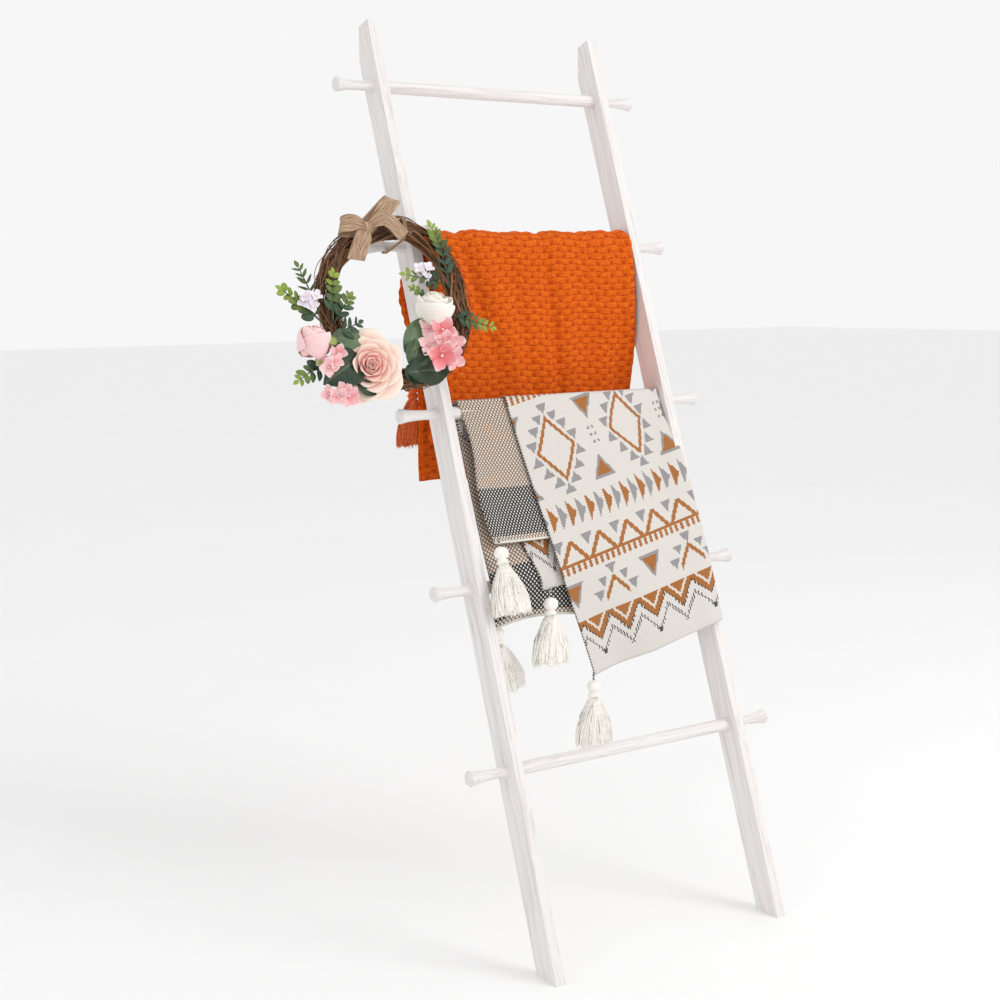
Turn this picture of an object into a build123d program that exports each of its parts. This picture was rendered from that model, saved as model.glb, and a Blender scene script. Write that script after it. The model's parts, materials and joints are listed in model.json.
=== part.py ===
from build123d import *

import os
from math import cos, degrees, radians, sin, tan

# Leaning blanket ladder with two folded throws and a flower wreath, in millimetres.
# Origin on the floor at the wall, midway between the rails. +X to the right as seen
# from the front, +Y towards the wall (the wall is y = 0), +Z up.

# ---- driving dimensions: rack -------------------------------------------------------
LEAN = radians(19.08)               # rails' angle from the vertical
INNER_WIDTH = 458.0                 # between the rails' inner faces
RAIL_THICKNESS = 19.0
RAIL_DEPTH = 51.0
RAIL_EDGE_ROUND = 1.2
TOP_SQUARE_CUT = 31.0               # depth of the square cut at a rail's top, before the wall cut
FOOT_TO_LOWEST_RUNG = 345.0         # along a rail's front face
RUNG_PITCHES = (301.0, 301.0, 297.0, 293.0)   # from the lowest rung upwards
RUNG_TO_RAIL_TOP = 113.0            # above the highest rung
RUNG_DIAMETER = 22.0

PEG_LENGTH = 73.0
PEG_BASE_DIAMETER = 26.0
PEG_WAIST_DIAMETER = 17.0
PEG_TIP_DIAMETER = 26.0
PEG_WAIST_AT = 34.0                 # waist's distance from the rail
PEG_TIP_ROUND = 3.0

STUD_DIAMETER = 6.0                 # hanger bolt
STUD_HOLE_CLEARANCE = 0.25          # radial, in the rail
STUD_IN_PEG = 25.0
STUD_IN_RUNG = 12.0
INSERT_DIAMETER = 9.0
INSERT_LENGTH = 14.0
END_PLAY = 1.0                      # free depth past a stud or an insert

# ---- driving dimensions: soft pieces ------------------------------------------------
CLOTH_GAP = 0.4                     # between a throw and what it hangs on
RAIL_GAP_LEFT = 24.0                # between a throw's left edge and the rail
RAIL_GAP_RIGHT = 3.0

ORANGE_LAYERS = 9.0                 # thickness of one folded half of the orange throw
ORANGE_FRONT_DROP = 330.0
ORANGE_BACK_DROP = 410.0
ORANGE_SHORT_DROP = 150.0           # of the outer layers at the back
ORANGE_LEFT_GAP = 16.0
ORANGE_RIGHT_GAP = 5.0

BOHO_LEG = 7.0                      # thickness of one folded half of the patterned throw
BOHO_STACK = 15.0                   # both halves together where they lie on the rung below
BOHO_FLAP_TAIL = 70.0               # below the rung that the throw leans on
BOHO_TAIL_LEFT = 190.0              # of the front panel, below that rung
BOHO_TAIL_RIGHT = 126.0
BOHO_STRIPS = 4                     # strips of the front panel's tail
BOHO_PANEL_WIDTH = 288.0            # of the front panel below that rung, from the throw's right edge
BOHO_LAP_INSIDE = 24.0              # where the fold starts to lap, inside the right rail's inner face
BOHO_LAP_ON_RAIL = 17.0             # how far the lap reaches over the rail's face
BOHO_LAP_THICKNESS = 9.0
BOHO_LAP_GAP = 1.0                  # in front of the rail's face
BOHO_LAP_SINK = 0.3                 # how far the lap is joined into the stack
BOHO_LAP_TOP = 60.0                 # below the rung that the throw hangs on
BOHO_MERGE = 0.8                    # share of the way down where the halves come together
BOHO_TASSEL_ABOVE_RUNG = 66.0       # first tassel above rung 4, along the rails
BOHO_TASSEL_INSETS = (24.0, 111.0, 36.0, 219.0)   # patterned throw's tassels from the left rail
BOHO_TASSEL_DROP = 20.0             # second tassel below the stack
TASSEL_CLEAR = 3.0                  # between a tassel's skirt and the cloth
TASSEL_BEHIND = 4.0
TASSEL_OVERLAP = 7.0                # last tassel's string above the front panel's corner
ORANGE_TASSEL_DROP = 225.0
ORANGE_TASSEL_INSETS = (19.0, 159.0, 284.0, 409.0)

TASSEL_STRING = 8.0
TASSEL_HEAD = 11.5                  # radius of the yarn ball
TASSEL_NECK = 8.0
TASSEL_SKIRT_LENGTH = 88.0
TASSEL_SKIRT_WIDTH = 72.0
TASSEL_SKIRT_DEPTH = 36.0
ORANGE_SKIRT_WIDTH = 64.0
TASSEL_STRING_RADIUS = 1.5
TASSEL_NECK_SHARE = 0.8             # of the ball's radius
TASSEL_SHOULDER = 0.35              # share of the skirt's length where it has spread

# ---- driving dimensions: wreath -----------------------------------------------------
WREATH_DIAMETER = 285.0
VINE_DIAMETER = 40.0
WREATH_RAIL_GAP = 8.0               # between the vines and the rail's front face
WREATH_BELOW_PEG = 124.0            # ring's centre below the peg, along the rail
WREATH_OFFSET = 93.0                # ring's centre outside the rail's inner face
LOOP_BAND = 1.6
LOOP_WIDTH = 7.0
LOOP_PEG_GAP = 1.5
LOOP_FROM_RAIL = 36.0               # loop's distance from the rail's outer face
FLOWER_SINK = 10.0                  # how far flowers are pushed into the vines
# flower heads: (right of and above the ring's centre, radius, height, step forward)
FLOWERS = {
    "large_rose": (-55, -99, 54, 44, 0),
    "white_rose": (83, 4, 31, 32, 4),
    "rose_bud": (-138, -51, 26, 30, -6),
    "hydrangea_right": (76, -73, 38, 32, 0),
    "hydrangea_left": (-120, -88, 20, 22, -4),
    "hydrangea_bottom": (-112, -128, 20, 20, -14),
}
BLOSSOMS = ((-150, 26, 13, 12), (74, 62, 11, 10))
# leaf groups: step forward and, for each leaf, (right, above, turn, length, width)
LEAVES = {
    "rose_leaves": (1, ((-96, -58, 35, 52, 30), (-8, -110, -120, 66, 36), (24, -106, -30, 62, 34),
                        (30, -92, 12, 50, 28))),
    "eucalyptus_left": (1, ((-136, 10, 62, 84, 34), (-138, 2, 100, 82, 34))),
    "eucalyptus_inner": (6, ((-104, -20, -28, 78, 30), (-112, -34, -4, 70, 28))),
    "eucalyptus_right": (1, ((86, 44, 28, 96, 36), (120, -18, -104, 56, 26), (52, 42, 50, 40, 22))),
    "eucalyptus_low": (-8, ((-148, -72, 112, 50, 26),)),
}
BOW_PLACE = (-26, 14)               # right of the ring's centre and above the peg
BOW_KNOT_RADIUS = 11.0
BOW_KNOT_DEPTH = 20.0
BOW_STEP = 4.0                      # loops behind and tails in front of the knot's middle
BOW_LOOPS = ((-2, 82, 40, 22), (2, -62, 48, 30))   # (right, turn, length, width)
BOW_TAILS = ((150, 38), (-105, 46))                # (turn, length)
BOW_TAIL_WIDTH = 20.0
BOW_TAIL_THICKNESS = 3.0

# ---- derived ------------------------------------------------------------------------
HALF_WIDTH = INNER_WIDTH / 2
RAIL_LENGTH = FOOT_TO_LOWEST_RUNG + sum(RUNG_PITCHES) + RUNG_TO_RAIL_TOP
REACH = RAIL_LENGTH * sin(LEAN) + TOP_SQUARE_CUT * cos(LEAN)   # front foot line to the wall
RUNG_R = RUNG_DIAMETER / 2
STUD_R = STUD_DIAMETER / 2
STATIONS = [FOOT_TO_LOWEST_RUNG + sum(RUNG_PITCHES[:i]) for i in range(len(RUNG_PITCHES) + 1)][::-1]
THROW_R = RUNG_R + CLOTH_GAP        # inside radius of a throw over a rung
SIDE = Plane(origin=(0, 0, 0), x_dir=(0, 1, 0), z_dir=(1, 0, 0))   # sketch x is Y, sketch y is Z


def on_ladder(s, depth=0.0):
    """(y, z) at s along the rails' front faces from the floor, depth behind those faces."""
    return (-REACH + s * sin(LEAN) + depth * cos(LEAN), s * cos(LEAN) - depth * sin(LEAN))


def rung_centre(number):
    """(y, z) of a rung's axis, counted from the top."""
    return on_ladder(STATIONS[number - 1], RAIL_DEPTH / 2)


def side_face(points):
    """Flat face in the side view through (y, z) points."""
    return make_face(Polyline(*points, close=True))


def along_x(sketch, x0, x1):
    """Side-view sketch carried from x0 to x1."""
    return extrude(SIDE.offset(x0) * sketch, amount=x1 - x0, dir=(1, 0, 0))


def bar(radius, x0, x1, centre):
    """Round bar along X."""
    return along_x(Pos(*centre) * Circle(radius), x0, x1)


# ---- rack ---------------------------------------------------------------------------
def rail(side):
    """Board with a foot cut to the floor, a top cut to the wall and a bolt hole at each rung."""
    foot_back = RAIL_DEPTH * tan(LEAN)
    wall_low = RAIL_LENGTH - (RAIL_DEPTH - TOP_SQUARE_CUT) / tan(LEAN)
    outline = side_face([on_ladder(0), on_ladder(RAIL_LENGTH), on_ladder(RAIL_LENGTH, TOP_SQUARE_CUT),
                         on_ladder(wall_low, RAIL_DEPTH), on_ladder(foot_back, RAIL_DEPTH)])
    inner = side * HALF_WIDTH
    outer = inner + side * RAIL_THICKNESS
    board = along_x(outline, min(inner, outer), max(inner, outer))
    long_edges = board.edges().group_by(SortBy.LENGTH)[-1] + board.edges().group_by(SortBy.LENGTH)[-2]
    board = fillet(long_edges, RAIL_EDGE_ROUND)
    for number in range(1, len(STATIONS) + 1):
        board -= bar(STUD_R + STUD_HOLE_CLEARANCE, min(inner, outer) - 1, max(inner, outer) + 1,
                     rung_centre(number))
    return board


def rung(number):
    """Dowel between the rails, bored at each end for its insert and stud."""
    centre = rung_centre(number)
    dowel = bar(RUNG_R, -HALF_WIDTH, HALF_WIDTH, centre)
    for side in (-1, 1):
        end = side * HALF_WIDTH
        depth = end - side * (INSERT_LENGTH + END_PLAY)
        dowel -= bar(INSERT_DIAMETER / 2, min(end, depth), max(end, depth), centre)
    return dowel


def peg(side, number):
    """Turned peg outside a rail: waisted, with a flared flat tip, bored for its stud."""
    base_r, waist_r, tip_r = PEG_BASE_DIAMETER / 2, PEG_WAIST_DIAMETER / 2, PEG_TIP_DIAMETER / 2
    curve = Spline((base_r, 0, 0), (waist_r, 0, PEG_WAIST_AT), (tip_r, 0, PEG_LENGTH - PEG_TIP_ROUND),
                   tangents=((-0.6, 0, 1), (0.25, 0, 1)))
    rim = Line(curve @ 1, (tip_r - PEG_TIP_ROUND, 0, PEG_LENGTH))
    tip = Line(rim @ 1, (0, 0, PEG_LENGTH))
    axis = Line((0, 0, PEG_LENGTH), (0, 0, 0))
    base = Line((0, 0, 0), curve @ 0)
    turned = revolve(make_face([curve, rim, tip, axis, base]), Axis.Z)
    turned -= Cylinder(STUD_R, STUD_IN_PEG + END_PLAY, align=(Align.CENTER, Align.CENTER, Align.MIN))
    y, z = rung_centre(number)
    return Pos(side * (HALF_WIDTH + RAIL_THICKNESS), y, z) * Rot(0, side * 90, 0) * turned


def hanger_bolts():
    """Stud at each rail and rung: from the peg, through the rail, into the rung's insert."""
    studs = []
    for number in range(1, len(STATIONS) + 1):
        for side in (-1, 1):
            inside = side * (HALF_WIDTH - STUD_IN_RUNG)
            outside = side * (HALF_WIDTH + RAIL_THICKNESS + STUD_IN_PEG)
            studs.append(bar(STUD_R, min(inside, outside), max(inside, outside), rung_centre(number)))
    return studs


def threaded_inserts():
    """Threaded sleeve in each rung end."""
    sleeves = []
    for number in range(1, len(STATIONS) + 1):
        for side in (-1, 1):
            end = side * HALF_WIDTH
            inside = end - side * INSERT_LENGTH
            low, high = min(end, inside), max(end, inside)
            centre = rung_centre(number)
            sleeves.append(bar(INSERT_DIAMETER / 2, low, high, centre) - bar(STUD_R, low, high, centre))
    return sleeves


# ---- throws -------------------------------------------------------------------------
def round_hull(centre_a, radius_a, centre_b, radius_b):
    """Outline stretched round two circles in the side view."""
    circles = [Pos(*centre_a) * Circle(radius_a), Pos(*centre_b) * Circle(radius_b)]
    return make_hull([edge for circle in circles for edge in circle.edges()])


def orange_throw():
    """Folded throw over rung 2: one drop in front, a long and a short drop at the back."""
    y, z = rung_centre(2)
    outside = THROW_R + ORANGE_LAYERS
    below = Pos(0, -outside / 2) * Rectangle(3 * outside, outside)
    over = Pos(y, z) * (Circle(outside) - Circle(THROW_R) - below)
    middle = THROW_R + ORANGE_LAYERS / 2
    outer = middle + ORANGE_LAYERS
    front = Pos(y - middle, z - ORANGE_FRONT_DROP / 2) * Rectangle(ORANGE_LAYERS, ORANGE_FRONT_DROP)
    back = Pos(y + middle, z - ORANGE_BACK_DROP / 2) * Rectangle(ORANGE_LAYERS, ORANGE_BACK_DROP)
    short = Pos(y + outer, z - ORANGE_SHORT_DROP / 2) * Rectangle(ORANGE_LAYERS, ORANGE_SHORT_DROP)
    return along_x(over + front + back + short, -HALF_WIDTH + ORANGE_LEFT_GAP, HALF_WIDTH - ORANGE_RIGHT_GAP)


def lean_point():
    """(y, z) of the middle of the patterned throw's stack, in front of rung 4."""
    y, z = rung_centre(4)
    reach = THROW_R + BOHO_STACK / 2 + CLOTH_GAP
    return (y - reach * cos(LEAN), z + reach * sin(LEAN))


def hang_y():
    """y of the back of the cloth that hangs straight down in front of rung 4."""
    return rung_centre(4)[0] - THROW_R - CLOTH_GAP


def panel_tail():
    """Front panel below rung 4 in strips: straight down at its left, along the rails at its right."""
    top_z = lean_point()[1]
    back = hang_y()
    right_edge = HALF_WIDTH - RAIL_GAP_RIGHT
    width = BOHO_PANEL_WIDTH / BOHO_STRIPS
    tail = None
    for index in range(BOHO_STRIPS):
        share = (index + 0.5) / BOHO_STRIPS
        length = BOHO_TAIL_LEFT + share * (BOHO_TAIL_RIGHT - BOHO_TAIL_LEFT)
        lean = share * LEAN
        low_y, low_z = back - length * sin(lean), top_z - length * cos(lean)
        outline = side_face([(back - BOHO_STACK, top_z), (back, top_z), (low_y - BOHO_LEG / 2, low_z),
                             (low_y - 1.5 * BOHO_LEG - 1, low_z)])
        start = right_edge - BOHO_PANEL_WIDTH + index * width
        strip = along_x(outline, start, start + width)
        tail = strip if tail is None else tail + strip
    return tail


def boho_throw():
    """Throw folded lengthwise over rung 3; both its halves lean on the front of rung 4."""
    top = rung_centre(3)
    lean = lean_point()
    merge = [start + BOHO_MERGE * (end - start) for start, end in zip(top, lean)]
    wrap = round_hull(top, THROW_R + BOHO_LEG, lean, BOHO_STACK / 2) - round_hull(top, THROW_R, merge, 0.5)
    tail = Pos(hang_y() - BOHO_STACK / 2, lean[1] - BOHO_FLAP_TAIL / 2)
    tail = tail * Rectangle(BOHO_STACK, BOHO_FLAP_TAIL)
    body = along_x(wrap + tail, -HALF_WIDTH + RAIL_GAP_LEFT, HALF_WIDTH - RAIL_GAP_RIGHT)
    return body + panel_tail() + rail_lap()


def rail_lap():
    """Fold lapped over the right rail: joined to the stack inside the rail, clear of the rail's face on it."""
    front = -BOHO_LAP_GAP - BOHO_LAP_THICKNESS
    stack_face = RAIL_DEPTH / 2 - THROW_R - BOHO_STACK - CLOTH_GAP
    top_s = STATIONS[2] - BOHO_LAP_TOP
    low_s = STATIONS[3] - BOHO_TAIL_RIGHT + BOHO_STACK
    stretches = ((HALF_WIDTH - BOHO_LAP_INSIDE, HALF_WIDTH - RAIL_GAP_RIGHT, stack_face + BOHO_LAP_SINK),
                 (HALF_WIDTH - RAIL_GAP_RIGHT, HALF_WIDTH + BOHO_LAP_ON_RAIL, -BOHO_LAP_GAP))
    slabs = []
    for start, end, back in stretches:
        corners = ((top_s, back), (low_s, back), (low_s, front), (top_s, front))
        slabs.append(along_x(side_face([on_ladder(s, depth) for s, depth in corners]), start, end))
    return slabs[0] + slabs[1]


def tassel(width):
    """Yarn tassel hanging from the origin: string, ball, neck and a flattened skirt."""
    down = (Align.CENTER, Align.CENTER, Align.MAX)
    ball_z = -TASSEL_STRING - TASSEL_HEAD * 0.9
    neck_r = TASSEL_HEAD * TASSEL_NECK_SHARE
    neck_z = ball_z - neck_r
    skirt_z = neck_z - TASSEL_NECK
    shape = Cylinder(TASSEL_STRING_RADIUS, TASSEL_STRING + 2, align=down)
    shape += Pos(0, 0, ball_z) * Sphere(TASSEL_HEAD)
    shape += Pos(0, 0, neck_z) * Cylinder(neck_r, TASSEL_NECK + 1, align=down)
    slices = [(0, neck_r + 0.3, neck_r - 0.2),
              (TASSEL_SHOULDER, width * 0.40, TASSEL_SKIRT_DEPTH * 0.42),
              (1.0, width * 0.5, TASSEL_SKIRT_DEPTH * 0.5)]
    rings = [Pos(0, 0, skirt_z - t * TASSEL_SKIRT_LENGTH) * Ellipse(a, b) for t, a, b in slices]
    return shape + loft(rings, ruled=True)


def tassel_places():
    """Node name to (top point, tilt about X in degrees, skirt width)."""
    lean_z = lean_point()[1]
    back = hang_y()
    half_skirt = TASSEL_SKIRT_DEPTH / 2
    rung_y, rung_z = rung_centre(2)
    behind = rung_y + THROW_R + ORANGE_LAYERS + half_skirt + CLOTH_GAP + TASSEL_CLEAR - 1
    on_stack = on_ladder(STATIONS[3] + BOHO_TASSEL_ABOVE_RUNG, -half_skirt - TASSEL_CLEAR)
    tops = (on_stack,
            (back - BOHO_STACK - half_skirt - 1, lean_z - BOHO_TASSEL_DROP),
            (back + half_skirt + TASSEL_BEHIND, lean_z - BOHO_FLAP_TAIL - 2),
            (back - 1.5 * BOHO_LEG, lean_z - BOHO_TAIL_LEFT + TASSEL_OVERLAP))
    places = {}
    for index, (inset, (y, z)) in enumerate(zip(BOHO_TASSEL_INSETS, tops)):
        tilt = -degrees(LEAN) if index == 0 else 0
        places[f"boho_tassel_{index + 1}"] = ((inset - HALF_WIDTH, y, z), tilt, TASSEL_SKIRT_WIDTH)
    for index, inset in enumerate(ORANGE_TASSEL_INSETS):
        top = (inset - HALF_WIDTH, behind, rung_z - ORANGE_TASSEL_DROP)
        places[f"orange_tassel_{index + 1}"] = (top, 0, ORANGE_SKIRT_WIDTH)
    return places


# ---- wreath -------------------------------------------------------------------------
WREATH_X = -HALF_WIDTH - WREATH_OFFSET
WREATH_S = STATIONS[1] - WREATH_BELOW_PEG
VINE_R = VINE_DIAMETER / 2
RING_R = WREATH_DIAMETER / 2 - VINE_R
RING_DEPTH = -(WREATH_RAIL_GAP + VINE_R)          # the ring's middle plane, in front of the rails


def wreath_frame():
    """Plane of the wreath: x to the right, y up along the rails, normal out of the ladder's front."""
    y, z = on_ladder(WREATH_S, RING_DEPTH)
    return Plane(origin=(WREATH_X, y, z), x_dir=(1, 0, 0), z_dir=(0, -cos(LEAN), sin(LEAN)))


def on_wreath(solid, x=0.0, up=0.0, out=0.0, turn=0.0):
    """Solid placed on the wreath's plane, turned in that plane by so many degrees."""
    return wreath_frame() * Pos(x, up, out) * Rot(0, 0, turn) * solid


def hanging_loop():
    """Jute band round the top of the ring and the waist of the second left peg."""
    x_out = -HALF_WIDTH - RAIL_THICKNESS - LOOP_FROM_RAIL
    offset = x_out - WREATH_X
    top_s = WREATH_S + (RING_R ** 2 - offset ** 2) ** 0.5
    vine = on_ladder(top_s, RING_DEPTH)
    hook = rung_centre(2)
    peg_r = PEG_WAIST_DIAMETER / 2 + LOOP_PEG_GAP
    outside = round_hull(vine, VINE_R + LOOP_BAND, hook, peg_r + LOOP_BAND)
    inside = round_hull(vine, VINE_R, hook, peg_r)
    return along_x(outside - inside, x_out - LOOP_WIDTH / 2, x_out + LOOP_WIDTH / 2)


def flower(radius, height):
    """Domed flower head on a flat back."""
    dome = Sphere(radius) & Pos(0, 0, radius) * Box(4 * radius, 4 * radius, 2 * radius)
    return scale(dome, by=(1, 1, height / radius))


def leaf(length, width, thickness=1.6):
    """Pointed leaf from the origin along +Y: two arcs, carried through its thickness."""
    right = ThreePointArc((0, 0), (width / 2, length / 2), (0, length))
    left = ThreePointArc((0, length), (-width / 2, length / 2), (0, 0))
    return extrude(make_face([right, left]), amount=thickness)


def bow():
    """Jute bow: a knot, two loops and two tails."""
    shape = Cylinder(BOW_KNOT_RADIUS, BOW_KNOT_DEPTH)
    for x, turn, length, width in BOW_LOOPS:
        shape += Pos(x, 0, -BOW_STEP) * Rot(0, 0, turn) * leaf(length, width, BOW_KNOT_DEPTH / 2)
    for turn, length in BOW_TAILS:
        shape += Pos(0, 0, BOW_STEP) * Rot(0, 0, turn) * leaf(length, BOW_TAIL_WIDTH, BOW_TAIL_THICKNESS)
    return shape


def wreath_parts():
    """Node name to solid or list of solids."""
    front = VINE_R - FLOWER_SINK
    parts = {
        "vine_ring": on_wreath(Torus(RING_R, VINE_R)),
        "wreath_loop": hanging_loop(),
        "jute_bow": on_wreath(bow(), BOW_PLACE[0], WREATH_BELOW_PEG + BOW_PLACE[1], VINE_R),
    }
    for name, (x, up, radius, height, step) in FLOWERS.items():
        parts[name] = on_wreath(flower(radius, height), x, up, front + step)
    parts["small_blossoms"] = [on_wreath(flower(radius, height), x, up, front)
                               for x, up, radius, height in BLOSSOMS]
    for name, (step, leaves) in LEAVES.items():
        parts[name] = [on_wreath(leaf(length, width), x, up, front + step, turn)
                       for x, up, turn, length, width in leaves]
    return parts


# ---- all the nodes ------------------------------------------------------------------
def all_parts():
    """Every node's name and its solid or solids."""
    parts = {"left_rail": rail(-1), "right_rail": rail(1)}
    for number in range(1, len(STATIONS) + 1):
        parts[f"rung_{number}"] = rung(number)
        parts[f"peg_left_{number}"] = peg(-1, number)
        parts[f"peg_right_{number}"] = peg(1, number)
    parts["hanger_bolts"] = hanger_bolts()
    parts["threaded_inserts"] = threaded_inserts()
    parts["orange_throw"] = orange_throw()
    parts["boho_throw"] = boho_throw()
    for name, (top, tilt, width) in tassel_places().items():
        parts[name] = Pos(*top) * Rot(tilt, 0, 0) * tassel(width)
    parts.update(wreath_parts())
    return parts


os.makedirs("parts", exist_ok=True)
for node, shape in all_parts().items():
    solids = [piece.solid() for piece in shape] if isinstance(shape, list) else [shape.solid()]
    export_step(Compound(children=solids) if len(solids) > 1 else solids[0], f"parts/{node}.step")
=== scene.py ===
import json
import bpy
import numpy as np
from mathutils import Matrix, Vector


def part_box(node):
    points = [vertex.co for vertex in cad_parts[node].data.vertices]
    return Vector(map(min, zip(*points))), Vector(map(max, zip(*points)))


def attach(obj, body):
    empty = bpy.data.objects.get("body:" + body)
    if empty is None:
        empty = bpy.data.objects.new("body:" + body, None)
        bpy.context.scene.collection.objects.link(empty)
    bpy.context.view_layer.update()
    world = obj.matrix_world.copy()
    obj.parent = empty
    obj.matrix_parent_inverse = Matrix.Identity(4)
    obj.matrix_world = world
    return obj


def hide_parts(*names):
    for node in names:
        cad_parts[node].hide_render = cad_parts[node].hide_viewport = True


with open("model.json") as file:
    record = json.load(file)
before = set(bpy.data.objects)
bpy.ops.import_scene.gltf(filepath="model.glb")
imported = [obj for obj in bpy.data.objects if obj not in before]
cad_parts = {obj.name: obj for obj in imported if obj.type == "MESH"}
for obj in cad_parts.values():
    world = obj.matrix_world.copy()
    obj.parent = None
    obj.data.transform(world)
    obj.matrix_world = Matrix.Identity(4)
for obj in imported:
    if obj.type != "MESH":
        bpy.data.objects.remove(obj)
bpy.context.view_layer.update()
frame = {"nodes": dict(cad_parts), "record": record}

# ---- places, read from the frame (metres) -------------------------------------------
X, UP = np.array([1.0, 0, 0]), np.array([0, 0, 1.0])


def middle(node):
    """Middle of a node's box."""
    low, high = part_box(node)
    return (np.array(low) + np.array(high)) / 2


def unit(v):
    """Vector of length one."""
    return v / np.linalg.norm(v)


RUNGS = {i: middle(f"rung_{i}") for i in range(1, 6)}
RUNG_R = RUNGS[1][2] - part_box("rung_1")[0][2]
ALONG = unit(RUNGS[1] - RUNGS[5])                    # up along the rails
OUT = np.array([0, -ALONG[2], ALONG[1]])             # out of the ladder's front
FOOT = np.array([0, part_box("left_rail")[0][1], 0])   # front foot line, midway between the rails
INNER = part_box("right_rail")[0][0]                   # x of the right rail's inner face
JOINTS = {joint["name"]: joint for joint in frame["record"]["behaviour"]["joints"]}
STATION = {i: float((RUNGS[i] - FOOT) @ ALONG) for i in RUNGS}
AXIS_DEPTH = -float((RUNGS[3] - FOOT) @ OUT)         # rungs' axes behind the rails' front faces
rng = np.random.default_rng(7)


# ---- meshes -------------------------------------------------------------------------
def smooth(x, low=0.0, high=1.0):
    """Smooth step: 0 below low, 1 above high, 3t^2 - 2t^3 between."""
    t = np.clip((x - low) / (high - low), 0, 1)
    return t * t * (3 - 2 * t)


def bell(x, wide):
    """Gaussian bump of height 1."""
    return np.exp(-(x / wide) ** 2)


class Build:
    """Gathers grids of points into one mesh, each with a map (u, v) and a tone per point."""

    def __init__(self):
        self.points, self.faces, self.maps, self.tones, self.count = [], [], [], [], 0

    def grid(self, p, around=False, tone=0.0, uv=None, flip=False):
        """Adds points p[row, column]; around joins the last column to the first."""
        rows, cols = p.shape[:2]
        i, j = np.meshgrid(np.arange(rows - 1), np.arange(cols if around else cols - 1), indexing="ij")
        j2 = (j + 1) % cols
        quads = np.stack([i * cols + j, i * cols + j2, (i + 1) * cols + j2, (i + 1) * cols + j], -1)
        quads = quads.reshape(-1, 4)
        if flip:
            quads = quads[:, ::-1]
        if uv is None:
            v, u = np.meshgrid(np.linspace(0, 1, rows), np.linspace(0, 1, cols), indexing="ij")
            uv = np.stack([u, v], -1)
        self.points.append(p.reshape(-1, 3))
        self.faces.append(quads + self.count)
        self.maps.append(np.asarray(uv, float).reshape(-1, 2))
        self.tones.append(np.broadcast_to(tone, (rows, cols)).reshape(-1))
        self.count += rows * cols

    def tube(self, path, radius, sides=5, tone=0.0):
        """Adds a round tube along path[n]: ring at each point, closed at both ends by tapering to it."""
        path = np.asarray(path, float)
        radius = np.broadcast_to(radius, len(path)).copy()
        radius[0], radius[-1] = 1e-5, 1e-5
        step = np.gradient(path, axis=0)
        step /= np.linalg.norm(step, axis=1)[:, None] + 1e-12
        guide = np.where(np.abs(step @ UP)[:, None] > 0.9, X, UP)
        side = np.cross(step, guide)
        side /= np.linalg.norm(side, axis=1)[:, None] + 1e-12
        other = np.cross(step, side)
        turn = np.linspace(0, 2 * np.pi, sides, endpoint=False)
        ring = side[:, None] * np.cos(turn)[:, None] + other[:, None] * np.sin(turn)[:, None]
        self.grid(path[:, None] + ring * radius[:, None, None], around=True, tone=tone, flip=True)

    def piece(self, name, body, material, node=None, thick=0.0, second=None, level=0):
        """Makes the object, rides it on a body, and hides the CAD node it stands for."""
        mesh = bpy.data.meshes.new(name)
        points, faces = np.concatenate(self.points), np.concatenate(self.faces)
        mesh.from_pydata(points.tolist(), [], faces.tolist())
        uv = mesh.uv_layers.new(name="UVMap")
        corner = np.zeros(len(mesh.loops), int)
        mesh.loops.foreach_get("vertex_index", corner)
        uv.data.foreach_set("uv", np.concatenate(self.maps)[corner].ravel())
        tone = mesh.attributes.new("tone", "FLOAT", "POINT")
        tone.data.foreach_set("value", np.concatenate(self.tones).astype(np.float32))
        mesh.polygons.foreach_set("use_smooth", np.full(len(mesh.polygons), True))
        made = linked(name, mesh)
        mesh.materials.append(material)
        if second:
            mesh.materials.append(second)
        if thick:
            wall = made.modifiers.new("thickness", "SOLIDIFY")
            wall.thickness, wall.offset = thick, 0.0
            if second:
                wall.material_offset = 1
        if level:
            finer = made.modifiers.new("smooth", "SUBSURF")
            finer.levels = finer.render_levels = level
        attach(made, body)
        if node:
            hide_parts(*([node] if isinstance(node, str) else node))
        return made


def linked(name, data):
    """New object for a mesh, lamp or camera, in the scene."""
    made = bpy.data.objects.new(name, data)
    bpy.context.scene.collection.objects.link(made)
    return made


# ---- materials ----------------------------------------------------------------------
class Field:
    """A number in a material's nodes. Arithmetic on fields adds Math nodes."""

    def __init__(self, tree, socket):
        self.tree, self.socket = tree, socket

    def math(self, operation, *others):
        node = self.tree.nodes.new("ShaderNodeMath")
        node.operation = operation
        for place, value in zip(node.inputs, (self, *others)):
            if isinstance(value, Field):
                self.tree.links.new(value.socket, place)
            else:
                place.default_value = value
        return Field(self.tree, node.outputs[0])

    def __add__(self, other):
        return self.math("ADD", other)

    def __sub__(self, other):
        return self.math("SUBTRACT", other)

    def __rsub__(self, other):
        return self.math("MULTIPLY_ADD", -1.0, other)

    def __mul__(self, other):
        return self.math("MULTIPLY", other)

    def __truediv__(self, other):
        return self.math("DIVIDE", other)

    def __abs__(self):
        return self.math("ABSOLUTE")

    __radd__, __rmul__ = __add__, __mul__

    def over(self, limit):
        """1 where the field is over the limit, else 0."""
        return self.math("GREATER_THAN", limit)

    def under(self, limit):
        """1 where the field is under the limit, else 0."""
        return self.math("LESS_THAN", limit)

    def either(self, other):
        """Larger of two fields: the union of two masks."""
        return self.math("MAXIMUM", other)

    def wave(self, period, start=0.0):
        """Signed distance to the nearest of the places start + n * period."""
        return ((self - start) / period + 0.5).math("FRACT") * period - period / 2


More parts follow.
